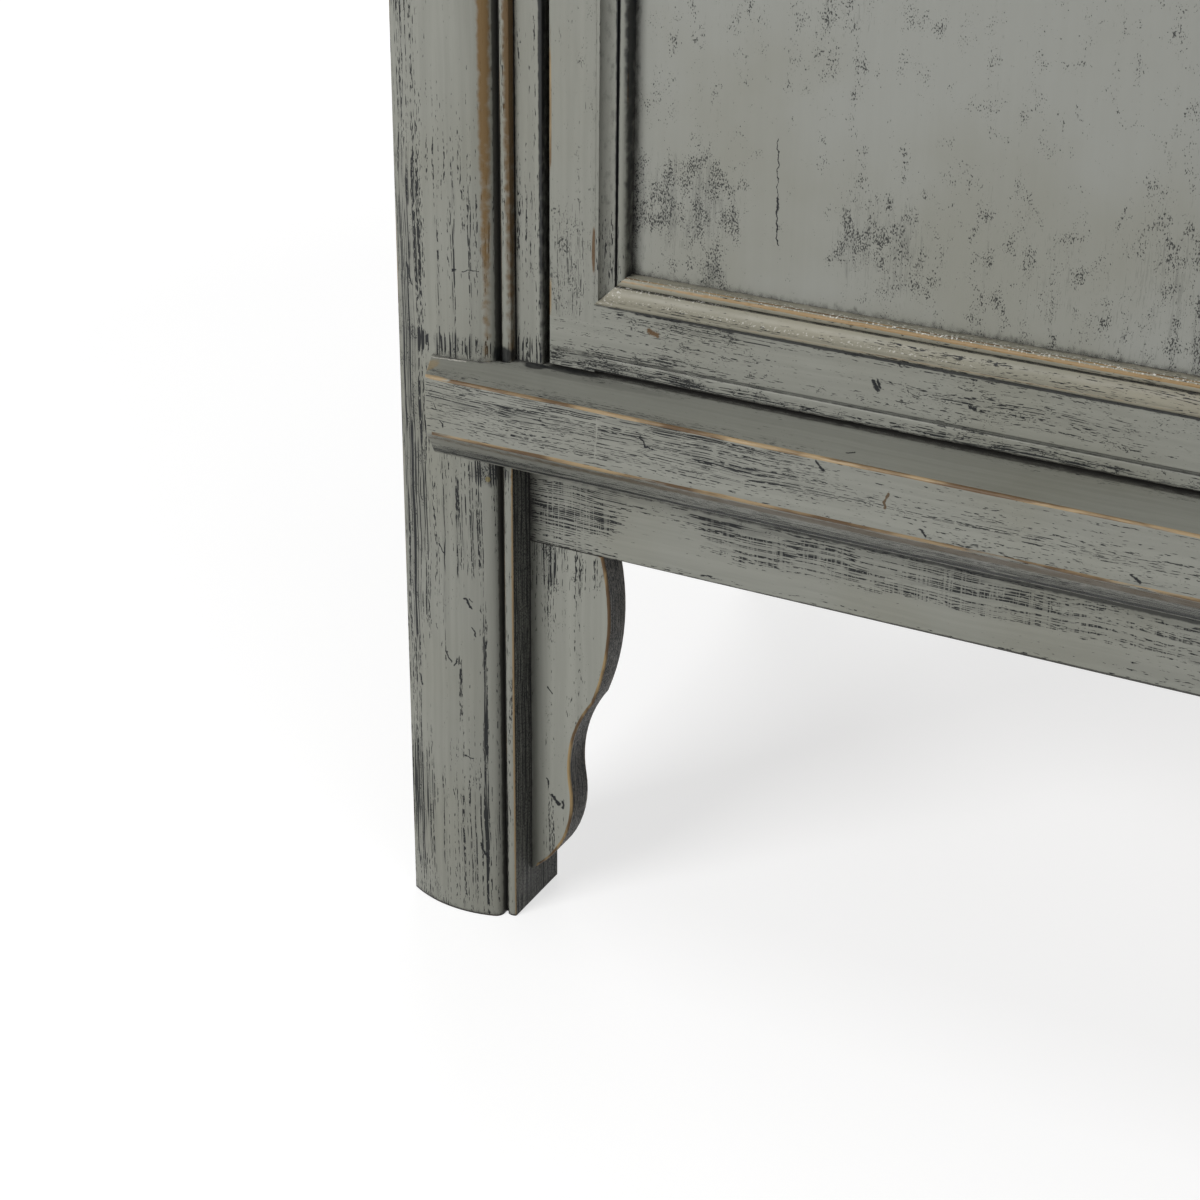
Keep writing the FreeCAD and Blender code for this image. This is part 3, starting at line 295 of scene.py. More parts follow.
def fit(piece, finish, body, node):
    """Gives a piece its finish and shading and seats it on its body, in its node's place."""
    alone(piece)
    bpy.ops.object.shade_smooth_by_angle(angle=math.radians(38))
    if finish:
        piece.data.materials.append(finish)
    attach(piece, body)
    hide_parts(node)


def lacquered(piece, finish, node, body="carcass"):
    fit(piece, finish, body, node)


LACQUER = (0.238, 0.241, 0.212, 1)
LACQUER_OLIVE = (0.200, 0.198, 0.160, 1)
INK = (0.010, 0.011, 0.012, 1)
RUBBED = (0.36, 0.225, 0.105, 1)
RUBBED_DEEP = (0.105, 0.064, 0.032, 1)
# Black glaze; the same colour also paints shade in the hollows and a shadow along the doors' foot.
GLAZE_AND_SHADE = (0.024, 0.023, 0.021, 1)
HAZE = (0.080, 0.082, 0.076, 1)

# The patterns in the lacquer: cells per metre, share of that along the grain, and detail.
PATTERNS = {
    "clouds": (26, 0.45, 4.0), "bands": (170, 0.03, 2.0), "pores": (1500, 0.20, 3.0),
    "dots": (1900, 0.5, 2.0), "dot fields": (150, 0.65, 5.0), "streaks": (350, 0.015, 4.0),
    "haze": (500, 0.2, 4.0), "smears": (420, 0.5, 5.0), "chafing": (150, 0.12, 5.0),
    "bare wood": (160, 0.15, 5.0),
}
# The levels of a pattern, which runs about 0.5, between which it sets in.
SETS_IN = {
    "rows": (0.53, 0.58), "pores": (0.50, 0.56), "dots": (0.57, 0.65), "weft": (0.53, 0.60),
    "haze": (0.52, 0.90), "bare wood": (0.42, 0.60), "crumbs": (0.58, 0.66),
}
# Pore rows and weft threads per metre, the cells of the ragged rims, of a stroke's edge and
# of the crumbs, and the depth in metres of the relief.
ROW_CELLS, WEFT_CELLS, RIM_CELLS, STROKE_CELLS, CRUMB_CELLS = 2000, 900, 260, 1300, 1000
RELIEF = 0.0003


def mixed(tree, factor, a, b, blend="MIX"):
    return put(tree, "Mix", {0: factor, 6: a, 7: b}, output=2, data_type="RGBA", blend_type=blend)


def swell(tree, value, low, high, bottom=0.0, top=1.0):
    """A smooth step from bottom to top while value goes from low to high."""
    levels = {"Value": value, "From Min": low, "From Max": high, "To Min": bottom, "To Max": top}
    return put(tree, "MapRange", levels, interpolation_type="SMOOTHSTEP")


def vector(tree, a, b, operation="ADD", output=0):
    return put(tree, "VectorMath", {0: a, 1: b}, output=output, operation=operation)


def scaled(tree, run, share):
    return put(tree, "VectorMath", {0: run, "Scale": share}, operation="SCALE")


def drawn_out(axis, share):
    """A stretch that makes a pattern long along one axis: the smaller the share, the longer."""
    return [share if letter == axis else 1 for letter in "XYZ"]


def fleck(tree, where, scale, stretch=(1, 1, 1), detail=1.0):
    """Noise with a scale per metre, drawn out along the axis whose stretch is small."""
    run = vector(tree, where, stretch, "MULTIPLY")
    return put(tree, "TexNoise", {"Vector": run, "Scale": scale, "Detail": detail, "Roughness": 0.5})


def unsteady(tree, where, scale, detail, reach):
    """The place, moved by up to half of reach in metres, so that lines laid by it waver."""
    drift = put(tree, "TexNoise", {"Vector": where, "Scale": scale, "Detail": detail}, output=1)
    return vector(tree, where, scaled(tree, vector(tree, drift, (0.5, 0.5, 0.5), "SUBTRACT"), reach))


def spot(tree, where, centre, radii, ragged=0.6, soft=0.2):
    """1 inside an ellipsoid given in mm, 0 outside it, with a ragged rim."""
    offset = vector(tree, where, tuple(c * MM for c in centre), "SUBTRACT")
    share = vector(tree, offset, tuple(1 / (r * MM) for r in radii), "MULTIPLY")
    reach = put(tree, "VectorMath", {0: share}, output=1, operation="LENGTH")
    rim = times(tree, fleck(tree, where, RIM_CELLS, detail=6.0), ragged)
    return swell(tree, plus(tree, reach, rim), 1.0 + soft + ragged / 2, 1.0 - soft + ragged / 2)


def scratch(tree, where, start, end, width, through):
    """1 on a stroke between two points in mm on a face that looks along through, 0 off it.
    Depth into the face counts a tenth, so that the stroke follows the dips."""
    flat = Vector(drawn_out(through, 0.1))
    run = (Vector(end) - Vector(start)) * MM * flat
    offset = vector(tree, vector(tree, where, Vector(start) * MM, "SUBTRACT"), flat, "MULTIPLY")
    share = vector(tree, offset, run / run.length_squared, "DOT_PRODUCT", output=1)
    foot = scaled(tree, run, put(tree, "Clamp", {"Value": share}))
    gap = vector(tree, offset, foot, "DISTANCE", output=1)
    gap = plus(tree, gap, times(tree, fleck(tree, where, STROKE_CELLS, detail=3.0), width * MM))
    return swell(tree, gap, width * MM * 1.25, width * MM * 0.8)


def begun(name):
    """A new finish, with its nodes, its surface and the place on the piece."""
    finish = bpy.data.materials.new(name)
    finish.use_nodes = True
    tree = finish.node_tree
    return finish, tree, tree.nodes["Principled BSDF"], put(tree, "TexCoord", output="Object")


def surfaced(tree, surface, colour, roughness, height, strength):
    """Gives a surface its colour, its roughness and a fine relief."""
    bump = put(tree, "Bump", {"Height": height, "Strength": strength, "Distance": RELIEF})
    tree.links.new(colour, surface.inputs["Base Color"])
    tree.links.new(roughness, surface.inputs["Roughness"])
    tree.links.new(bump, surface.inputs["Normal"])


def lacquer(name, grain, ink, pitch=1.4, specks=0.2, rubbed=0.5, grime_and_shade=0.6, tone=1.0, lines=1.0,
            body=LACQUER, bare=RUBBED, patches=(), marks=(), painted_glints=(), crossed=(), scratches=()):
    """Grey-green lacquer with inked pores along the grain and arrises rubbed to the wood.
    Places and widths are in mm. A patch has its centre, radii and amount of ink; a mark or a painted glint
    (a painted highlight) its centre, radii, paint and strength; a crossed place its centre, radii and the
    axis of the weft. They are given for the right half and show on both. A scratch has its two ends,
    width, paint and the axis that its face looks along, and shows once."""
    finish, tree, surface, where = begun(name)
    folded = put(tree, "VectorMath", {0: where}, operation="ABSOLUTE")
    folded = vector(tree, folded, (1, 0, 1), "MULTIPLY")
    folded = vector(tree, folded, vector(tree, where, (0, 1, 0), "MULTIPLY"))
    wavy = unsteady(tree, where, 16.0, 2.0, 0.005)

    def pattern(kind, place=where):
        cells, share, detail = PATTERNS[kind]
        return fleck(tree, place, cells, drawn_out(grain, share), detail)

    def sets_in(kind, value, top=1.0):
        return swell(tree, value, *SETS_IN[kind], 0.0, top)

    # Where the ink is dense: in clouds, in bands along the grain and in the patches.
    cloud = plus(tree, pattern("clouds"), 0.5, "SUBTRACT")
    broad = plus(tree, pattern("bands", wavy), 0.5, "SUBTRACT")
    density = plus(tree, times(tree, cloud, 1.1), times(tree, broad, 0.8))
    density = plus(tree, density, ink - 0.5)
    for centre, radii, amount in patches:
        place = spot(tree, folded, centre, radii, 0.6, 0.6)
        density = plus(tree, density, times(tree, place, amount))

    # Ink in the rows of pores, in fields of dots and, where it is crossed, broken by the weft.
    rows = fleck(tree, wavy, ROW_CELLS / pitch, drawn_out(grain, 0.004), 1.0)
    rows = plus(tree, rows, times(tree, density, 0.07))
    pores = plus(tree, pattern("pores", wavy), times(tree, density, 0.50))
    inked = times(tree, sets_in("rows", rows, lines), sets_in("pores", pores))
    fields = plus(tree, pattern("dot fields"), times(tree, density, 0.35))
    fields = times(tree, plus(tree, fields, 0.80 - 0.30 * specks, "SUBTRACT"), 0.8)
    fields = put(tree, "Clamp", {"Value": fields, "Min": -1.0, "Max": 0.09})
    inked = plus(tree, inked, sets_in("dots", plus(tree, pattern("dots"), fields), 0.88), "MAXIMUM")
    for centre, radii, other in crossed:
        weft = sets_in("weft", fleck(tree, wavy, WEFT_CELLS, drawn_out(other, 0.03), 1.0))
        weft = times(tree, weft, spot(tree, folded, centre, radii, 0.8, 0.5))
        inked = plus(tree, inked, times(tree, weft, 0.7), "SUBTRACT")
    inked = put(tree, "Clamp", {"Value": inked})

    # The body colour: olive in places, streaked along the grain, hazed and then inked.
    olive = swell(tree, fleck(tree, where, 9, detail=4.0), 0.42, 0.70, 0.0, 0.55)
    base = mixed(tree, olive, body, LACQUER_OLIVE)
    faint, full = (1 - 0.08 * lines) * tone, (1 + 0.04 * lines) * tone
    shade = swell(tree, pattern("streaks", wavy), 0.30, 0.70, faint, full)
    shade = put(tree, "CombineColor", {"Red": shade, "Green": shade, "Blue": shade})
    base = mixed(tree, 1.0, base, shade, "MULTIPLY")
    haze = plus(tree, times(tree, density, 0.6), pattern("haze"))
    base = mixed(tree, sets_in("haze", haze, 0.34), base, HAZE)
    colour = mixed(tree, times(tree, inked, 0.97), base, INK)

    # Black glaze in the hollows, partly real glaze and partly painted shade where the occlusion is deep,
    # and bare wood where the arrises are rubbed.
    hollow = put(tree, "AmbientOcclusion", {"Distance": 0.006}, output="AO", samples=6)
    smear = pattern("smears")
    dirt_and_shade = plus(tree, plus(tree, 1.0, hollow, "SUBTRACT"), times(tree, smear, 0.9))
    dirt_and_shade = swell(tree, dirt_and_shade, 0.98 - 0.36 * grime_and_shade, 1.16 - 0.36 * grime_and_shade, 0.0, 0.93)
    colour = mixed(tree, dirt_and_shade, colour, GLAZE_AND_SHADE)
    wear = put(tree, "Attribute", output="Fac", attribute_name="wear")
    chafe = plus(tree, wear, pattern("chafing"))
    worn = swell(tree, chafe, 1.62 - 0.30 * rubbed, 1.70 - 0.30 * rubbed)
    wood = mixed(tree, sets_in("bare wood", pattern("bare wood")), RUBBED_DEEP, bare)
    colour = mixed(tree, worn, colour, wood)

    # Single marks, painted highlights (glints) broken into crumbs, and scratches.
    for centre, radii, paint, strength in marks:
        colour = mixed(tree, times(tree, spot(tree, folded, centre, radii), strength), colour, paint)
    crumbs = sets_in("crumbs", fleck(tree, where, CRUMB_CELLS, detail=1.0))
    for centre, radii, paint, strength in painted_glints:
        cover = times(tree, spot(tree, folded, centre, radii, 0.3, 0.4), crumbs)
        colour = mixed(tree, times(tree, cover, strength), colour, paint)
    if scratches:
        shaky = unsteady(tree, where, 260.0, 3.0, 0.004)
    for start, end, width, paint, through in scratches:
        colour = mixed(tree, scratch(tree, shaky, start, end, width, through), colour, paint)

    relief = plus(tree, times(tree, smear, 0.5), inked, "SUBTRACT")
    relief = plus(tree, relief, times(tree, worn, 0.5), "SUBTRACT")
    gloss = swell(tree, fleck(tree, where, 60, detail=4.0), 0.3, 0.7, 0.38, 0.55)
    surfaced(tree, surface, colour, plus(tree, gloss, times(tree, inked, 0.25)), relief, 0.5)
    surface.inputs["Specular IOR Level"].default_value = 0.2
    surface.inputs["Coat Weight"].default_value = 0.05
    surface.inputs["Coat Roughness"].default_value = 0.22
    return finish


UP = Vector((0, 0, 1))
ALONG_X = Vector((1, 0, 0))
ALONG_Y = Vector((0, 1, 0))
leg_lacquer = lacquer(
    "grey lacquer on the front legs", "Z", ink=0.32, pitch=1.9, rubbed=0.5, grime_and_shade=0.5,
    patches=[((466, -226, 255), (10, 30, 120), 0.48), ((466, -226, 760), (9, 30, 420), 0.38),
             ((436, -229, 640), (7, 20, 120), 0.25), ((448, -229, 980), (12, 20, 150), 0.28),
             ((452, -229, 240), (14, 30, 60), 0.15),
             ((434, -229, 222), (6, 20, 30), 0.35), ((430, -229, 50), (10, 20, 30), 0.25),
             ((440, -229, 316), (30, 20, 5), 0.6), ((466, -226, 60), (8, 20, 40), 0.2),
             ((448, -229, 40), (26, 20, 55), 0.30), ((427, -230, 105), (1.1, 9, 85), 0.5),
             ((439.4, -231, 330), (1.1, 9, 60), 0.45), ((431.5, -230, 340), (1.0, 9, 50), 0.35),
             ((448, -231, 335), (1.0, 9, 45), 0.3), ((440, -231, 170), (1.1, 9, 70), 0.45),
             ((448, -231, 190), (1.1, 9, 60), 0.4), ((424, -229, 253), (8, 8, 6), 1.2)],
    marks=[((424.0, -228.2, 700), (3.4, 5.0, 370), (0.135, 0.082, 0.031, 1), 0.97),
           ((420.5, -223.0, 600), (1.0, 3.6, 700), (0.045, 0.045, 0.040, 1), 0.9),
           ((414.6, -221.6, 720), (3.3, 4.6, 405), (0.100, 0.062, 0.026, 1), 0.97),
           ((413.9, -223.0, 130), (1.1, 1.8, 170), (0.25, 0.17, 0.08, 1), 0.85),
           ((424.5, -229.5, 250), (1.2, 4, 1.5), (0.20, 0.16, 0.06, 1), 0.7),
           ((418, -223, 313), (5, 6, 4), INK, 0.9),
           ((445, -200, 0), (60, 80, 1.3), GLAZE_AND_SHADE, 0.85)],
    scratches=[((-466.8, -225, 350.7), (-463.8, -227, 341.9), 1.3, INK, "Y"),
               ((-439.7, -231, 353.3), (-438.5, -229.5, 353.4), 0.8, INK, "Y"),
               ((-435, -231, 353.8), (-427.5, -229.5, 354.4), 0.35, INK, "Y"),
               ((-437, -231, 184.5), (-433.5, -231, 179.5), 1.0, INK, "Y"),
               ((-434.4, -231, 184.2), (-433.2, -231, 182.8), 0.8, INK, "Y"),
               ((-451, -231, 211), (-447.5, -231, 206.5), 0.7, INK, "Y"),
               ((-433, -230.5, 169), (-431.5, -230.5, 164), 0.9, INK, "Y"),
               ((-448, -231, 152.5), (-445.5, -231, 147), 0.8, INK, "Y"),
               ((-442, -231, 150), (-443, -231, 145.5), 0.9, INK, "Y"),
               ((-466, -226, 133), (-464.5, -226, 128), 1.1, INK, "Y"),
               ((-438, -231, 95), (-434, -231, 94), 0.9, INK, "Y"),
               ((-430.5, -230, 44), (-427, -229, 36), 1.3, INK, "Y")],
)
# Painted shade: the legs' faces towards the brackets turn away from the lamps, so their lacquer is inked
# heavily and toned darker.
ink_and_shade_lacquer = lacquer(
    "grey lacquer inked and painted in shade inside the frame", "Z", ink=0.95, specks=1.2, rubbed=0.2, tone=0.92,
)


def shade_painted(piece, test, finish=ink_and_shade_lacquer):
    """Gives the faces that pass a test on their normal and middle a darker finish: heavy ink with painted
    shade.
    """
    piece.data.materials.append(finish)
    for face in piece.data.polygons:
        if test(face.normal, face.center):
            face.material_index = 1


SIDES = ((-1, "left"), (1, "right"))
corner, groove, bead = (LEG_OUTSIDE, -223.75), (424.6, -228.75), (419, -222.95)
profile = [corner] + arc(corner, (447.55, -231.75), groove, 14)
profile += arc(groove, (421.6, -226.85), (420.6, -222.95), 5)
profile += [(420.6, -221.15), (419, -221.15), bead]
profile += arc(bead, (416.5, -223.75), (LEG_INSIDE, -222.95), 6)
profile += [(LEG_INSIDE, DOOR_FACE), (LEG_INSIDE, LEG_BACK), (LEG_OUTSIDE, LEG_BACK)]
for side, label in SIDES:
    outline = ringed(lying([(side * x, y) for x, y in profile], "XY", 0), ring=0.003, pitch=0.012)
    leg = drawn(f"front_leg_{label}", outline, UP, strides(LEG_TOP * MM, 0.018), inset=0.0006)
    ease(leg, 0.0009)
    handworked(leg, 0.35, 45)
    lacquered(leg, leg_lacquer, f"leg_front_{label}")
    # The face towards the bracket gets painted shade over heavy ink, but not the edge of the bead beside
    # the door.
    shade_painted(leg, lambda normal, middle: normal.x * side < -NEARLY and abs(middle.x) < 0.4145
             and not (middle.y < -0.2186 and middle.z > LEDGE_TOP * MM))


# Lower front rail, or ledge. One elm rail with a flat face over a steep slope; its splayed
# ends lap over the legs. Hands and feet have rubbed its top arris to bare tan wood.
RUBBED_TAN = (0.34, 0.25, 0.14, 1)
DENT_BROWN = (0.090, 0.062, 0.036, 1)
ledge_lacquer = lacquer(
    "grey lacquer on the ledge", "X", ink=0.47, pitch=0.85, tone=1.04, rubbed=1.0, bare=RUBBED_TAN,
    patches=[((380, -256, 296), (80, 12, 20), 0.20), ((0, -238, 310), (460, 18, 2.0), -0.5),
             ((0, -222, 310), (400, 6, 2.5), 0.20), ((150, -256, 303), (140, 6, 5), -0.2),
             ((405, -238, 264), (60, 10, 6), 0.4), ((0, -240, 266), (441, 12, 7), 0.3)],
    marks=[((0, -251.0, 276.4), (441, 5.0, 4.6), (0.105, 0.080, 0.050, 1), 0.92),
           # A black line along the slope's lower edge, where the ledge overhangs the apron.
           ((0, -234.6, 262.2), (560, 2.6, 2.2), INK, 0.95),
           # The smooth dark marks along the doors' foot on the ledge top, on the next line and at 370 mm
           # two lines on, are painted shadow of the doors.
           ((0, -219.5, 310), (400, 1.2, 2), GLAZE_AND_SHADE, 0.6),
           ((402, -221.5, 310), (6, 3.5, 3), INK, 0.9), ((384, -220, 310), (16, 2.6, 3), INK, 0.8),
           ((370, -226, 310), (40, 4, 3), GLAZE_AND_SHADE, 0.2), ((417, -223, 310), (3, 2.5, 2), INK, 0.8),
           ((446, -246, 310.2), (4, 9, 1.0), (0.30, 0.22, 0.11, 1), 0.6),
           ((436, -256, 310), (7, 1.6, 1.3), RUBBED_TAN, 0.85)],
    scratches=[((-329.5, -256, 301.5), (-327.5, -256, 297.5), 0.7, INK, "Y"),
               ((-327.5, -256, 297.5), (-323.5, -256, 296.5), 0.6, INK, "Y"),
               ((-352, -256, 306), (-352, -256, 286), 0.7, (0.265, 0.267, 0.235, 1), "Y"),
               ((-245.5, -256, 307.5), (-242.5, -256, 304), 1.4, INK, "Y"),
               ((-197, -256, 286.5), (-194, -256, 284), 1.3, INK, "Y"),
               ((-104, -256, 286), (-100.5, -256, 283.5), 1.3, INK, "Y"),
               ((-211.8, -256, 299.5), (-214, -256, 296), 1.1, DENT_BROWN, "Y"),
               ((-214, -256, 296), (-213.2, -256, 292.8), 1.4, DENT_BROWN, "Y"),
               ((-437, -256, 297), (-436, -256, 294), 0.5, INK, "Y"),
               ((-434, -256, 289), (-432, -256, 286), 0.6, INK, "Y"),
               # This pale stroke along the back edge of the lap over the left leg is a painted highlight,
               # not a scratch.
               ((-450, -235, 310), (-433.5, -232.8, 310), 0.9, (0.62, 0.60, 0.55, 1), "Z"),
               ((-236, -246, 310), (-232.5, -244, 310), 1.2, INK, "Z")],
)
LEDGE_FRONT, LEDGE_UNDER = -256.25, 260
# In metres: the length between the legs, and the back, tip and steps of the lap over a leg.
LEDGE_LENGTH = 0.828
LAP_BACK, LAP_END, LAP_STRIDES = -0.2245, 0.441, (0.012, 0.012, 0.0115, 0.0025)
section = [(LEDGE_FRONT, LEDGE_TOP), (LEDGE_FRONT, 281), (-231.75, LEDGE_UNDER),
           (LEG_BACK, LEDGE_UNDER), (LEG_BACK, LEDGE_TOP)]
outline = ringed(lying(section, "YZ", -LEG_INSIDE), pitch=0.009)
ledge = drawn("ledge", outline, ALONG_X, strides(LEDGE_LENGTH, 0.016))
alone(ledge)
bpy.ops.object.mode_set(mode="EDIT")
bpy.ops.mesh.select_all(action="SELECT")
bpy.ops.mesh.bisect(plane_co=(0, LAP_BACK, 0), plane_no=(0, 1, 0))
bpy.ops.mesh.select_mode(type="FACE")
for side, _ in SIDES:
    for step in LAP_STRIDES:
        bpy.ops.mesh.select_all(action="DESELECT")
        form = bmesh.from_edit_mesh(ledge.data)
        reach = max(vertex.co.x * side for vertex in form.verts)
        for face in form.faces:
            middle = face.calc_center_median()
            at_end = face.normal.x * side > NEARLY and middle.x * side > reach - 10 * CLOSE
            face.select_set(at_end and middle.y < LAP_BACK)
        bmesh.update_edit_mesh(ledge.data)
        bpy.ops.mesh.extrude_region_move(TRANSFORM_OT_translate={"value": (side * step, 0, 0)})
    bpy.ops.mesh.select_all(action="SELECT")
    splay, tip = Vector((side * 24.5, -11, 0)).normalized(), (side * LAP_END, LEDGE_FRONT * MM, 0)
    bpy.ops.mesh.bisect(plane_co=tip, plane_no=splay, use_fill=True, clear_outer=True)
bpy.ops.object.mode_set(mode="OBJECT")
ease(ledge, 0.0012, ALONG_X, where=lambda middle: middle.y < -0.24)
ease(ledge, 0.0010, where=lambda middle: middle.y < -0.22 and abs(middle.x) > 0.4395, worn=0.45)
handworked(ledge, 0.3, 40)
lacquered(ledge, ledge_lacquer, "ledge_rail")


# Front apron and its two brackets, thin elm boards behind the legs' faces. The brackets are sawn to a
# double curve; their sawn edges carry heavy ink and painted shade, and the front arris is rubbed tan.
apron_lacquer = lacquer(
    "grey lacquer on the apron", "X", ink=0.52, pitch=1.5, rubbed=0.1, grime_and_shade=0.8, tone=1.05,
    patches=[((330, -206, 243), (60, 10, 5), 0.35), ((150, -206, 217), (350, 10, 7), -0.35),
             ((390, -206, 229), (24, 10, 22), 0.38), ((345, -206, 230), (22, 10, 10), -0.4),
             ((235, -206, 236), (80, 10, 8), 0.30), ((70, -206, 235), (90, 10, 8), 0.15)],
    # A black line along the apron just under the ledge, and a dark one along its lower edge.
    marks=[((0, -206, 247.5), (392, 4, 2.6), INK, 0.8), ((0, -206, 210.8), (370, 4, 1.1), GLAZE_AND_SHADE, 0.85)],
    crossed=[((391, -206, 229), (21, 12, 20), "Z"), ((180, -206, 232), (150, 12, 13), "Z")],
)


def board(name, low, high, along, pitch=0.03, wide=0.03, worn=1.0, inset=0.0):
    """A planed board between two corners in mm: long arrises eased, ends left square."""
    (x0, y0, z0), (x1, y1, z1) = low, high
    plane, direction, (start, end), (u0, u1), (v0, v1) = {
        "X": ("YZ", ALONG_X, (x0, x1), (y0, y1), (z0, z1)),
        "Y": ("XZ", ALONG_Y, (y0, y1), (x0, x1), (z0, z1)),
        "Z": ("XY", UP, (z0, z1), (x0, x1), (y0, y1)),
    }[along]
    outline = ringed(lying([(u0, v0), (u1, v0), (u1, v1), (u0, v1)], plane, start), pitch=wide)
    piece = drawn(name, outline, direction, strides((end - start) * MM, pitch), inset)
    ease(piece, 0.0008, None if inset else direction, worn=worn)
    return piece


def at_node(node):
    """A node's two corners in mm."""
    return [tuple(c / MM for c in corner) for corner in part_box(node)]


apron = board("front_apron_board", *at_node("front_apron"), "X", pitch=0.016, wide=0.008, worn=0.3)
handworked(apron, 0.3, 40)
lacquered(apron, apron_lacquer, "front_apron")

# The scroll as shares of a bracket's width and height: each corner, and the point that the
# curve to the next corner runs through.
SCROLL = (((0.0, 1.0), None), ((0.91, 1.0), (1.005, 0.84)), ((0.80, 0.565), (0.52, 0.41)),
          ((0.52, 0.295), (0.49, 0.16)), ((0.0, 0.0), None))
SCROLL_WIDTH, SCROLL_FOOT, SCROLL_HEIGHT, BRACKET_FACE = 44, 20, 190.5, -205.95
BOARD_DEPTH = 0.018


def scroll(name, plane, root, away, start, direction):
    """A sawn bracket, from its root at a leg towards away, between its foot and the apron."""
    def at(share):
        return root + away * SCROLL_WIDTH * share[0], SCROLL_FOOT + SCROLL_HEIGHT * share[1]

    def sawn(middle):
        run = middle.x if plane == "XZ" else middle.y
        return middle.z < 0.209 and abs(run / MM - root) > 3

    edge = []
    for (place, through), (after, _) in zip(SCROLL, SCROLL[1:] + SCROLL[:1]):
        edge.append(at(place))
        if through:
            edge += arc(at(place), at(through), at(after), 12)[:-1]
    outline = ringed(lying(edge, plane, start), ring=0, pitch=0.01)
    piece = drawn(name, outline, direction, strides(BOARD_DEPTH, 0.014, 0.002), inset=0.002)
    ease(piece, 0.0011, clamp=False, where=sawn)
    handworked(piece, 0.25, 25)
    return piece


bracket_lacquer = lacquer(
    "grey lacquer on the brackets", "Z", ink=0.22, pitch=1.8, specks=0.5, rubbed=1.35, grime_and_shade=0.0,
    tone=1.16, bare=(0.33, 0.235, 0.115, 1),
    patches=[((392, -206, 203), (26, 12, 16), 0.35), ((404, -206, 190), (8, 12, 30), 0.2)],
    scratches=[((-402, -206, 68.5), (-398, -206, 64), 1.7, INK, "Y"),
               ((-396.5, -206, 66.5), (-395.5, -206, 62.5), 1.2, INK, "Y"),
               ((-405, -206, 77), (-404, -206, 74), 0.9, INK, "Y"),
               ((-404.5, -206, 131), (-402, -206, 128), 0.9, INK, "Y"),
               ((-403.4, -206, 61), (-402.4, -206, 33), 0.25, INK, "Y")],
)
# Painted shade: the sawn edges are toned far darker than the faces, over heavy ink.
shaded_edge_lacquer = lacquer(
    "grey lacquer with painted shade on the sawn edges", "Z", ink=0.9, pitch=1.2, specks=1.2, rubbed=0.2, grime_and_shade=0.8,
    tone=0.44, body=(0.240, 0.218, 0.172, 1),
)
for side, label in SIDES:
    piece = scroll(f"front_bracket_{label}", "XZ", side * LEG_INSIDE, -side, BRACKET_FACE, ALONG_Y)
    lacquered(piece, bracket_lacquer, f"bracket_front_{label}")
    shade_painted(piece, lambda normal, middle: abs(normal.y) < 0.12, shaded_edge_lacquer)


# Strips beside the doors, and the rail over them. Narrow elm jambs against the legs, with ink standing low
# in the corner at the leg and a black line along the edge at the gap to the door.
strip_lacquer = lacquer(
    "grey lacquer on the strips", "Z", ink=0.33, pitch=2.0, rubbed=0.2, grime_and_shade=0.25,
    marks=[((400.5, -219, 720), (1.5, 5, 420), INK, 0.95)],
    patches=[((407, -219, 314), (12, 6, 9), 0.5)],
)
head_lacquer = lacquer("grey lacquer on the head rail", "X", ink=0.55, rubbed=0.4)
for _, label in SIDES:
    strip = board(f"strip_{label}", *at_node(f"jamb_strip_{label}"), "Z", wide=0.006, worn=0.4)
    handworked(strip, 0.2, 40)
    lacquered(strip, strip_lacquer, f"jamb_strip_{label}")
low, high = at_node("door_head_rail")
head = board("head_rail", (-LEG_INSIDE, *low[1:]), (LEG_INSIDE, *high[1:]), "X")
handworked(head)
lacquered(head, head_lacquer, "door_head_rail")


# Doors. Each has two stiles, two rails tenoned into them and a thin panel of elm in grooves.
# The lower edge is worked to a narrow lip. Black glaze lies in cloudy flecks on the panel.
stile_lacquer = lacquer(
    "grey lacquer on the stiles", "Z", ink=0.14, specks=0.75, rubbed=0.85, lines=0.7,
    bare=(0.30, 0.235, 0.145, 1),
    patches=[((388, -219, 350), (10, 8, 40), 0.3), ((385, -219, 318), (14, 8, 7), 0.5),
             ((383, -219, 900), (12, 8, 200), 0.25), ((14, -219, 700), (12, 8, 250), 0.25)],
    marks=[((373.3, -219, 370), (1.1, 3, 10), RUBBED_DEEP, 0.95)],
)
rail_lacquer = lacquer(
    "grey lacquer on the door rails", "X", ink=0.36, pitch=1.0, specks=0.6, rubbed=0.1, grime_and_shade=0.5,
    tone=1.04,
    patches=[((350, -219, 316), (50, 6, 7), 0.4), ((330, -219, 340), (60, 6, 4), 0.25),
             ((200, -219, 313), (200, 6, 3), 0.3)],
    marks=[((0, -218.4, 319.5), (400, 3, 0.9), INK, 0.55), ((199, -219, 344.0), (184, 3, 0.9), INK, 0.9)],
    scratches=[((-345, -219, 336.5), (-340.5, -219, 335), 2.2, RUBBED_DEEP, "Y"),
               ((-236, -219, 333), (-234, -219, 329.5), 1.4, INK, "Y"),
               ((-234, -219, 333.5), (-233, -219, 331), 1.2, INK, "Y"),
               ((-192, -219, 330.5), (-188.5, -219, 329.5), 1.2, INK, "Y")],
)
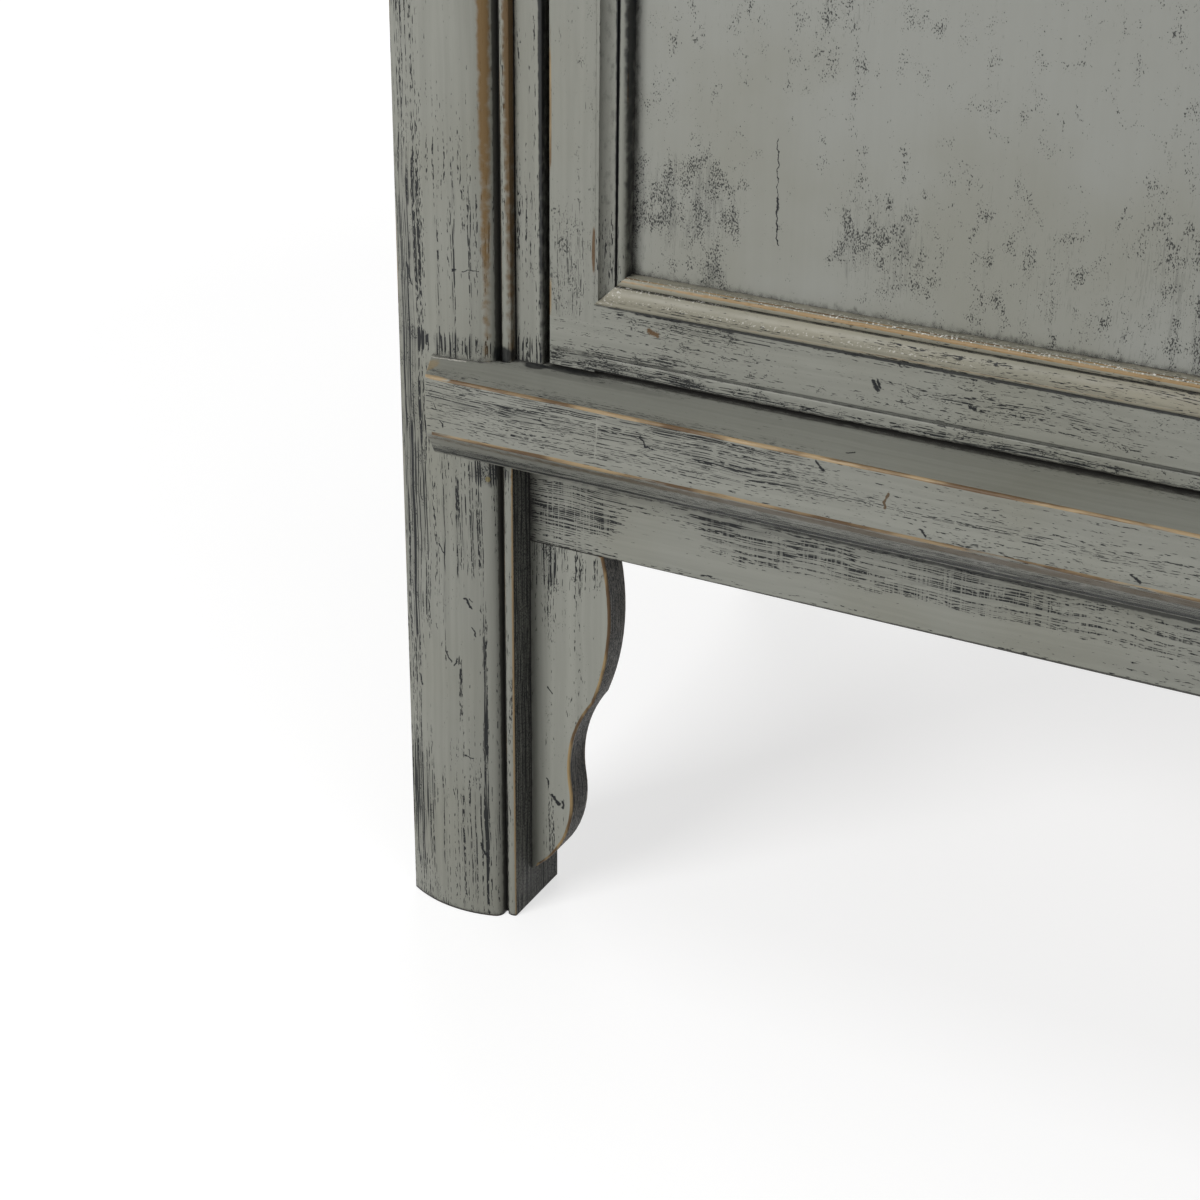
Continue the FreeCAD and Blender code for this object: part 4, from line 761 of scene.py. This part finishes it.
panel_lacquer = lacquer(
    "grey lacquer on the panels", "Z", ink=0.14, specks=0.86, rubbed=0.0, grime_and_shade=0.4, tone=1.04,
    lines=0.15, body=(0.256, 0.261, 0.238, 1),
    patches=[((318, -209, 364), (7, 8, 7), 0.7), ((335, -209, 396), (34, 8, 22), 0.5),
             ((240, -209, 392), (24, 8, 22), 0.5), ((290, -209, 560), (60, 8, 90), 0.25),
             ((120, -209, 380), (60, 8, 40), 0.35), ((150, -209, 900), (80, 8, 120), 0.25)],
    scratches=[((-289, -209, 404), (-288.1, -209, 383), 0.6, INK, "Y"),
               ((-289.5, -209, 430), (-289, -209, 404), 0.4, INK, "Y")],
)
OPENING_X, OPENING_Z = (25.5, 372.5), (344.5, 1107.0)
RAIL_TOP = OPENING_Z[0]
RAIL_BACK = -194.75
# The lip: its underside, the depth and the two sides of the groove over it, and the places
# where a stile is stepped for it. Below FOOT_TOP a stile has the bottom rail's finish.
LIP_FOOT, LIP_HOLLOW, LIP_GROOVE = 311.5, -217.9, (0.3188, 0.3202)
LIP_STRIDES, FOOT_TOP = (2.5, 4.6, 0.5, 0.8, 0.5, 14.6), 0.335
for side, label in SIDES:
    body = f"{label}_door"
    for part in ("hinge_stile", "meeting_stile"):
        outside = -side if part == "meeting_stile" else side
        low, high = at_node(f"door_{label}_{part}")
        rim = max(low[0] * outside, high[0] * outside) * MM
        corners = [(low[0], low[1]), (high[0], low[1]), (high[0], high[1]), (low[0], high[1])]
        foot = [step * MM for step in LIP_STRIDES]
        stile = drawn(f"{label}_{part}", ringed(lying(corners, "XY", low[2]), pitch=0.008), UP,
                      foot + strides((high[2] - low[2]) * MM - sum(foot)))
        ease(stile, 0.0014, UP, where=lambda middle: middle.x * outside > rim - 1e-4, worn=0.95)
        for vertex in stile.data.vertices:
            if LIP_GROOVE[0] < vertex.co.z < LIP_GROOVE[1]:
                vertex.co.y = max(vertex.co.y, LIP_HOLLOW * MM)
        handworked(stile, 0.2, 40)
        lacquered(stile, stile_lacquer, f"door_{label}_{part}", body)
        stile.data.materials.append(rail_lacquer)
        for face in stile.data.polygons:
            face.material_index = int(face.center.z < FOOT_TOP)
    inner, outer = sorted(side * x for x in OPENING_X)
    section = [(DOOR_FACE, RAIL_TOP), (DOOR_FACE, 320.4), (LIP_HOLLOW, 319.9), (LIP_HOLLOW, 319.1),
               (DOOR_FACE, 318.6), (DOOR_FACE, 312.6), (LIP_HOLLOW, LIP_FOOT), (RAIL_BACK, LIP_FOOT),
               (RAIL_BACK, RAIL_TOP)]
    outline = ringed(lying(section, "YZ", inner - 0.5), pitch=0.008)
    rail = drawn(f"{label}_bottom_rail", outline, ALONG_X, strides((outer - inner + 1) * MM, 0.016))
    ease(rail, 0.0004, ALONG_X, where=lambda middle: middle.z < 0.33, worn=0.35)
    handworked(rail, 0.2, 40)
    lacquered(rail, rail_lacquer, f"door_{label}_bottom_rail", body)
    low, high = at_node(f"door_{label}_top_rail")
    rail = board(f"{label}_top_rail", (inner - 0.5, *low[1:]), (outer + 0.5, *high[1:]), "X", worn=0.35)
    handworked(rail, 0.2, 40)
    lacquered(rail, rail_lacquer, f"door_{label}_top_rail", body)
    panel = board(f"{label}_panel", *at_node(f"door_{label}_panel"), "Z", pitch=0.02, wide=0.02)
    handworked(panel, 0.4, 60)
    lacquered(panel, panel_lacquer, f"door_{label}_panel", body)


# Mouldings planted round the panels. Each strip has a roll, a hollow, a quirk and a bead,
# and is mitred at the corners. The bead's inner arris is rubbed tan all along.
def across_moulding():
    """The strip's section in mm: distance from the frame, and depth behind the door's face."""
    roll = [(0, 0)] + arc((0, 0), (0.84, -1.7), (2.52, -2), 4)
    cove = arc((2.52, -2), (5.3, 1.56), (8.7, 2.6), 6)
    bead = [(9.24, 3.8)] + arc((9.24, 3.8), (11.6, 1.6), (14, 3.2), 7)
    return roll + cove + bead + [(14, 10), (0, 10)]


# The pale paint of painted highlights on the flat mouldings.
PALE_GLINT = (0.62, 0.61, 0.56, 1)
# The flat strips are beige and lighter, partly their varnish and partly painted top light, with painted
# highlights; the upright strips are toned darker, with more glaze, as painted shade.
moulding_lacquer_lit_and_shaded = {
    "X": lacquer("grey lacquer on the flat mouldings", "X", ink=0.35, pitch=1.2, specks=0.4,
                 rubbed=1.15, grime_and_shade=0.45, tone=1.06,
                 body=(0.250, 0.236, 0.185, 1), bare=(0.27, 0.18, 0.08, 1),
                 marks=[((200, -216.6, 357.0), (172, 2.0, 0.8), (0.26, 0.16, 0.06, 1), 0.85),
                        ((200, -219, 346.3), (172, 2, 0.5), (0.27, 0.20, 0.12, 1), 0.5),
                        ((200, -219, 344.9), (172, 3, 0.5), INK, 0.7)],
                 painted_glints=[((200, -216, 358.6), (172, 4, 0.9), (0.70, 0.69, 0.64, 1), 0.85),
                         ((340, -216, 353.6), (30, 4, 1.2), (0.66, 0.65, 0.60, 1), 0.6),
                         ((280, -218, 348.4), (90, 4, 0.7), PALE_GLINT, 0.5),
                         ((366, -217, 350), (6, 6, 6), PALE_GLINT, 0.6)]),
    "Z": lacquer("grey lacquer on the upright mouldings, painted in shade", "Z", ink=0.16, pitch=1.2, specks=0.4,
                 rubbed=0.3, grime_and_shade=1.0, tone=0.9,
                 marks=[((363.2, -216, 720), (1.5, 3, 400), INK, 0.95),
                        # Painted shade on the bead's inner side; the mark above is ink in the quirk.
                        ((359, -213, 720), (2.0, 5, 380), INK, 0.9)]),
}


def mitred(piece, corner, outward, edgeward):
    """Saws an end at 45 degrees, with outward along the piece and edgeward to its outer side."""
    alone(piece)
    bpy.ops.object.mode_set(mode="EDIT")
    bpy.ops.mesh.select_all(action="SELECT")
    cut = (outward - edgeward).normalized()
    bpy.ops.mesh.bisect(plane_co=corner, plane_no=cut, use_fill=True, clear_outer=True)
    bpy.ops.object.mode_set(mode="OBJECT")


def joined(name, pieces):
    """Makes one piece of several that were worked apart."""
    alone(pieces[0])
    for piece in pieces[1:]:
        piece.select_set(True)
    bpy.ops.object.join()
    whole = bpy.context.object
    whole.name = whole.data.name = name
    return whole


for side, label in SIDES:
    x_ends = sorted(side * x for x in OPENING_X)
    strips = []
    for end in (0, 1):
        for way, plane, run, ends, outer, edges in (("flat", "YZ", ALONG_X, x_ends, UP, OPENING_Z),
                                                    ("upright", "XY", UP, OPENING_Z, ALONG_X, x_ends)):
            edge, inward = edges[end], 1 - 2 * end
            section = [(edge + inward * u, DOOR_FACE + v) for u, v in across_moulding()]
            if way == "flat":
                section = [(v, u) for u, v in section]
            outline = ringed(lying(section, plane, ends[0]), ring=0.0012, pitch=0.01)
            lengths = strides((ends[1] - ends[0]) * MM, 0.02)
            strip = drawn(f"{label}_{way}_strip_{end}", outline, run, lengths)
            ease(strip, 0.0011, run, where=lambda middle: middle.y < -0.21
                 and abs(middle.dot(outer) / MM - edge) > 13)
            handworked(strip, 0.15, 20)
            for turn, place in ((-1, ends[0]), (1, ends[1])):
                mitred(strip, (run * place + outer * edge) * MM, run * turn, outer * -inward)
            strip.data.materials.append(moulding_lacquer_lit_and_shaded["X" if way == "flat" else "Z"])
            strips.append(strip)
    moulding = joined(f"{label}_moulding", strips)
    lacquered(moulding, None, f"door_{label}_moulding", f"{label}_door")


# Top. A mitred elm frame, rounded under its outer edge, with a flush panel let in. The top is
# handled most, so its arrises and its flat are rubbed more than the rest.
top_lacquer = {
    axis: lacquer(f"grey lacquer on the top along {axis}", axis, ink=0.36, specks=0.4, rubbed=0.9,
                  grime_and_shade=0.4)
    for axis in "XY"
}
reach_x, reach_y, member, top = 500, 256.25, 75, 1200
edge = [(0, top), (member, top), (member, LEG_TOP), (14, LEG_TOP)]
edge += arc((14, LEG_TOP), (4.9, 1178.1), (0, 1188), 9)
end_pieces = []
for way, label in ((-1, "front"), (1, "back")):
    outline = ringed(lying([(way * (reach_y - u), v) for u, v in edge], "YZ", -reach_x), pitch=0.012)
    piece = drawn(f"top_{label}", outline, ALONG_X, strides(2 * reach_x * MM, 0.04))
    ease(piece, 0.001, ALONG_X)
    handworked(piece, 0.3, 60)
    for end in (-1, 1):
        mitred(piece, Vector((end * reach_x, way * reach_y, 0)) * MM, ALONG_X * end, ALONG_Y * way)
    lacquered(piece, top_lacquer["X"], f"top_frame_{label}")
for way in (-1, 1):
    outline = ringed(lying([(way * (reach_x - u), v) for u, v in edge], "XZ", -reach_y), pitch=0.012)
    piece = drawn(f"top_end_{way}", outline, ALONG_Y, strides(2 * reach_y * MM, 0.04))
    ease(piece, 0.001, ALONG_Y)
    handworked(piece, 0.3, 60)
    for end in (-1, 1):
        mitred(piece, Vector((way * reach_x, end * reach_y, 0)) * MM, ALONG_Y * end, ALONG_X * way)
    end_pieces.append(piece)
lacquered(joined("top_ends", end_pieces), top_lacquer["Y"], "top_frame_ends")
inside_x, inside_y = reach_x - member, reach_y - member
panel = board("top_panel_board", (-inside_x, -inside_y, 1185), (inside_x, inside_y, top), "X")
handworked(panel, 0.5, 90)
lacquered(panel, top_lacquer["X"], "top_panel")


# Rear legs and sides. Plain square elm posts at the back. At each side two rails and a thin
# panel are let into the legs, over a narrow apron with sawn brackets like those at the front.
side_lacquer = {
    axis: lacquer(f"grey lacquer on the sides along {axis}", axis, ink=0.36, pitch=1.7, specks=0.4,
                  rubbed=0.6)
    for axis in "YZ"
}
REAR_LEG_FACE, SIDE_APRON, APRON_UNDER, PANEL_TOP = 195.25, (451, 469), 210.5, 1120
side_aprons, side_brackets = [], []
for side, label in SIDES:
    low, high = at_node(f"leg_rear_{label}")
    leg = board(f"rear_leg_{label}", low, (*high[:2], LEG_TOP), "Z", wide=0.02, inset=0.002)
    handworked(leg, 0.35, 45)
    lacquered(leg, side_lacquer["Z"], f"leg_rear_{label}")
    for part in ("lower", "upper"):
        low, high = at_node(f"side_rail_{part}_{label}")
        low, high = (low[0], LEG_BACK, low[2]), (high[0], REAR_LEG_FACE, high[2])
        rail = board(f"side_{part}_{label}", low, high, "Y")
        handworked(rail, 0.3, 45)
        lacquered(rail, side_lacquer["Y"], f"side_rail_{part}_{label}")
    low, high = at_node(f"side_panel_{label}")
    low, high = (low[0], LEG_BACK, LEDGE_TOP), (high[0], REAR_LEG_FACE, PANEL_TOP)
    panel = board(f"side_board_{label}", low, high, "Z")
    handworked(panel, 0.5, 70)
    lacquered(panel, side_lacquer["Z"], f"side_panel_{label}")
    near, far = sorted(side * x for x in SIDE_APRON)
    side_aprons.append(board(f"side_apron_{label}", (near, LEG_BACK, APRON_UNDER),
                             (far, REAR_LEG_FACE, LEDGE_UNDER), "Y", pitch=0.02, wide=0.01))
    for root, away in ((LEG_BACK, 1), (REAR_LEG_FACE, -1)):
        side_brackets.append(scroll(f"side_scroll_{label}_{away}", "YZ", root, away, near, ALONG_X))
for group, grain, node in ((side_aprons, "Y", "side_aprons"), (side_brackets, "Z", "side_brackets")):
    whole = joined(f"{node}_pair", group)
    handworked(whole, 0.25, 30)
    lacquered(whole, side_lacquer[grain], node)


# Inside and back. Boards, shelves, cleats, battens and pegs of elm that was never lacquered,
# only stained; they show when the doors are open or from behind.
BAND_DARK, BAND_PALE = (0.098, 0.052, 0.024, 1), (0.265, 0.158, 0.078, 1)
OPEN_PORES, PAINTED_CORNER_SHADE = (0.035, 0.018, 0.009, 1), (0.030, 0.018, 0.011, 1)


def bare_wood(name, grain):
    """Stained elm with darker open pores, broad annual bands along the grain and painted shade in its
    corners.
    """
    finish, tree, surface, where = begun(name)
    bands = fleck(tree, where, 55, drawn_out(grain, 0.02), 4.0)
    colour = mixed(tree, swell(tree, bands, 0.30, 0.70), BAND_DARK, BAND_PALE)
    pores = plus(tree, fleck(tree, where, 900, drawn_out(grain, 0.08), 2.0), times(tree, bands, 0.5))
    pores = swell(tree, pores, 0.82, 0.90)
    colour = mixed(tree, times(tree, pores, 0.7), colour, OPEN_PORES)
    hollow = put(tree, "AmbientOcclusion", {"Distance": 0.015}, output="AO", samples=6)
    # Painted shade, darker where the occlusion is deep.
    colour = mixed(tree, swell(tree, hollow, 0.25, 0.95, 0.7, 0.0), colour, PAINTED_CORNER_SHADE)
    dull = swell(tree, fleck(tree, where, 60, detail=3.0), 0.3, 0.7, 0.52, 0.68)
    surfaced(tree, surface, colour, dull, plus(tree, bands, pores, "SUBTRACT"), 0.4)
    surface.inputs["Specular IOR Level"].default_value = 0.3
    return finish


def softened(node, width, least=40):
    """A copy of a node's mesh, merged and with its arrises over least degrees rounded."""
    source = frame["nodes"][node]
    piece = bpy.data.objects.new(f"{node}_eased", source.data.copy())
    bpy.context.scene.collection.objects.link(piece)
    piece.data.name = piece.name
    piece.data.materials.clear()
    alone(piece)
    bpy.ops.object.mode_set(mode="EDIT")
    bpy.ops.mesh.select_mode(type="VERT")
    bpy.ops.mesh.select_all(action="SELECT")
    bpy.ops.mesh.remove_doubles(threshold=0.00001)
    bpy.ops.mesh.dissolve_limited(angle_limit=math.radians(0.5))
    bpy.ops.mesh.select_mode(type="EDGE")
    bpy.ops.mesh.select_all(action="DESELECT")
    form = bmesh.from_edit_mesh(piece.data)
    for edge in form.edges:
        sharp = len(edge.link_faces) == 2 and edge.calc_face_angle() > math.radians(least)
        edge.select_set(sharp and edge.is_convex)
    bmesh.update_edit_mesh(piece.data)
    bpy.ops.mesh.bevel(offset=width, segments=2, affect="EDGES", clamp_overlap=True)
    bpy.ops.object.mode_set(mode="OBJECT")
    return piece


bare_elm = {axis: bare_wood(f"bare elm along {axis}", axis) for axis in "XYZ"}
bare_pieces = {
    "X": ("back_rail_lower", "back_rail_upper", "floor_board", "shelf_lower", "shelf_upper", "door_stop"),
    "Y": ("shelf_cleats", "top_battens"),
    "Z": ("back_muntin", "back_panels", "wooden_pegs"),
}
for axis, names in bare_pieces.items():
    for name in names:
        piece = softened(name, 0.0003 if name == "wooden_pegs" else 0.0008)
        fit(piece, bare_elm[axis], frame["nodes"][name]["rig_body"], name)


# Brass. Sheet hinges nailed to the door and the strip, and a plate with a drop pull on each
# meeting stile, all darkened with age and bright where hands touch them.
brass, tree, surface, where = begun("aged brass")
BRASS_BRIGHT, BRASS_DARK = (0.235, 0.158, 0.066, 1), (0.045, 0.033, 0.020, 1)
fine = times(tree, fleck(tree, where, 420, detail=3.0), 0.35)
tarnish = plus(tree, fleck(tree, where, 70, detail=5.0), fine)
hollow = put(tree, "AmbientOcclusion", {"Distance": 0.004}, output="AO", samples=6)
dark = swell(tree, plus(tree, tarnish, hollow, "SUBTRACT"), -0.40, -0.02)
colour = mixed(tree, dark, BRASS_BRIGHT, BRASS_DARK)
surfaced(tree, surface, colour, swell(tree, tarnish, 0.45, 0.85, 0.34, 0.62), tarnish, 0.25)
surface.inputs["Metallic"].default_value = 1.0
for name in sorted(frame["nodes"]):
    if any(word in name for word in ("hinge_leaves", "hinge_frame", "hinge_pins", "pull", "nails")):
        piece = softened(name, 0.00025 if "nails" in name or "pin" in name else 0.0004, least=50)
        fit(piece, brass, frame["nodes"][name]["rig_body"], name)
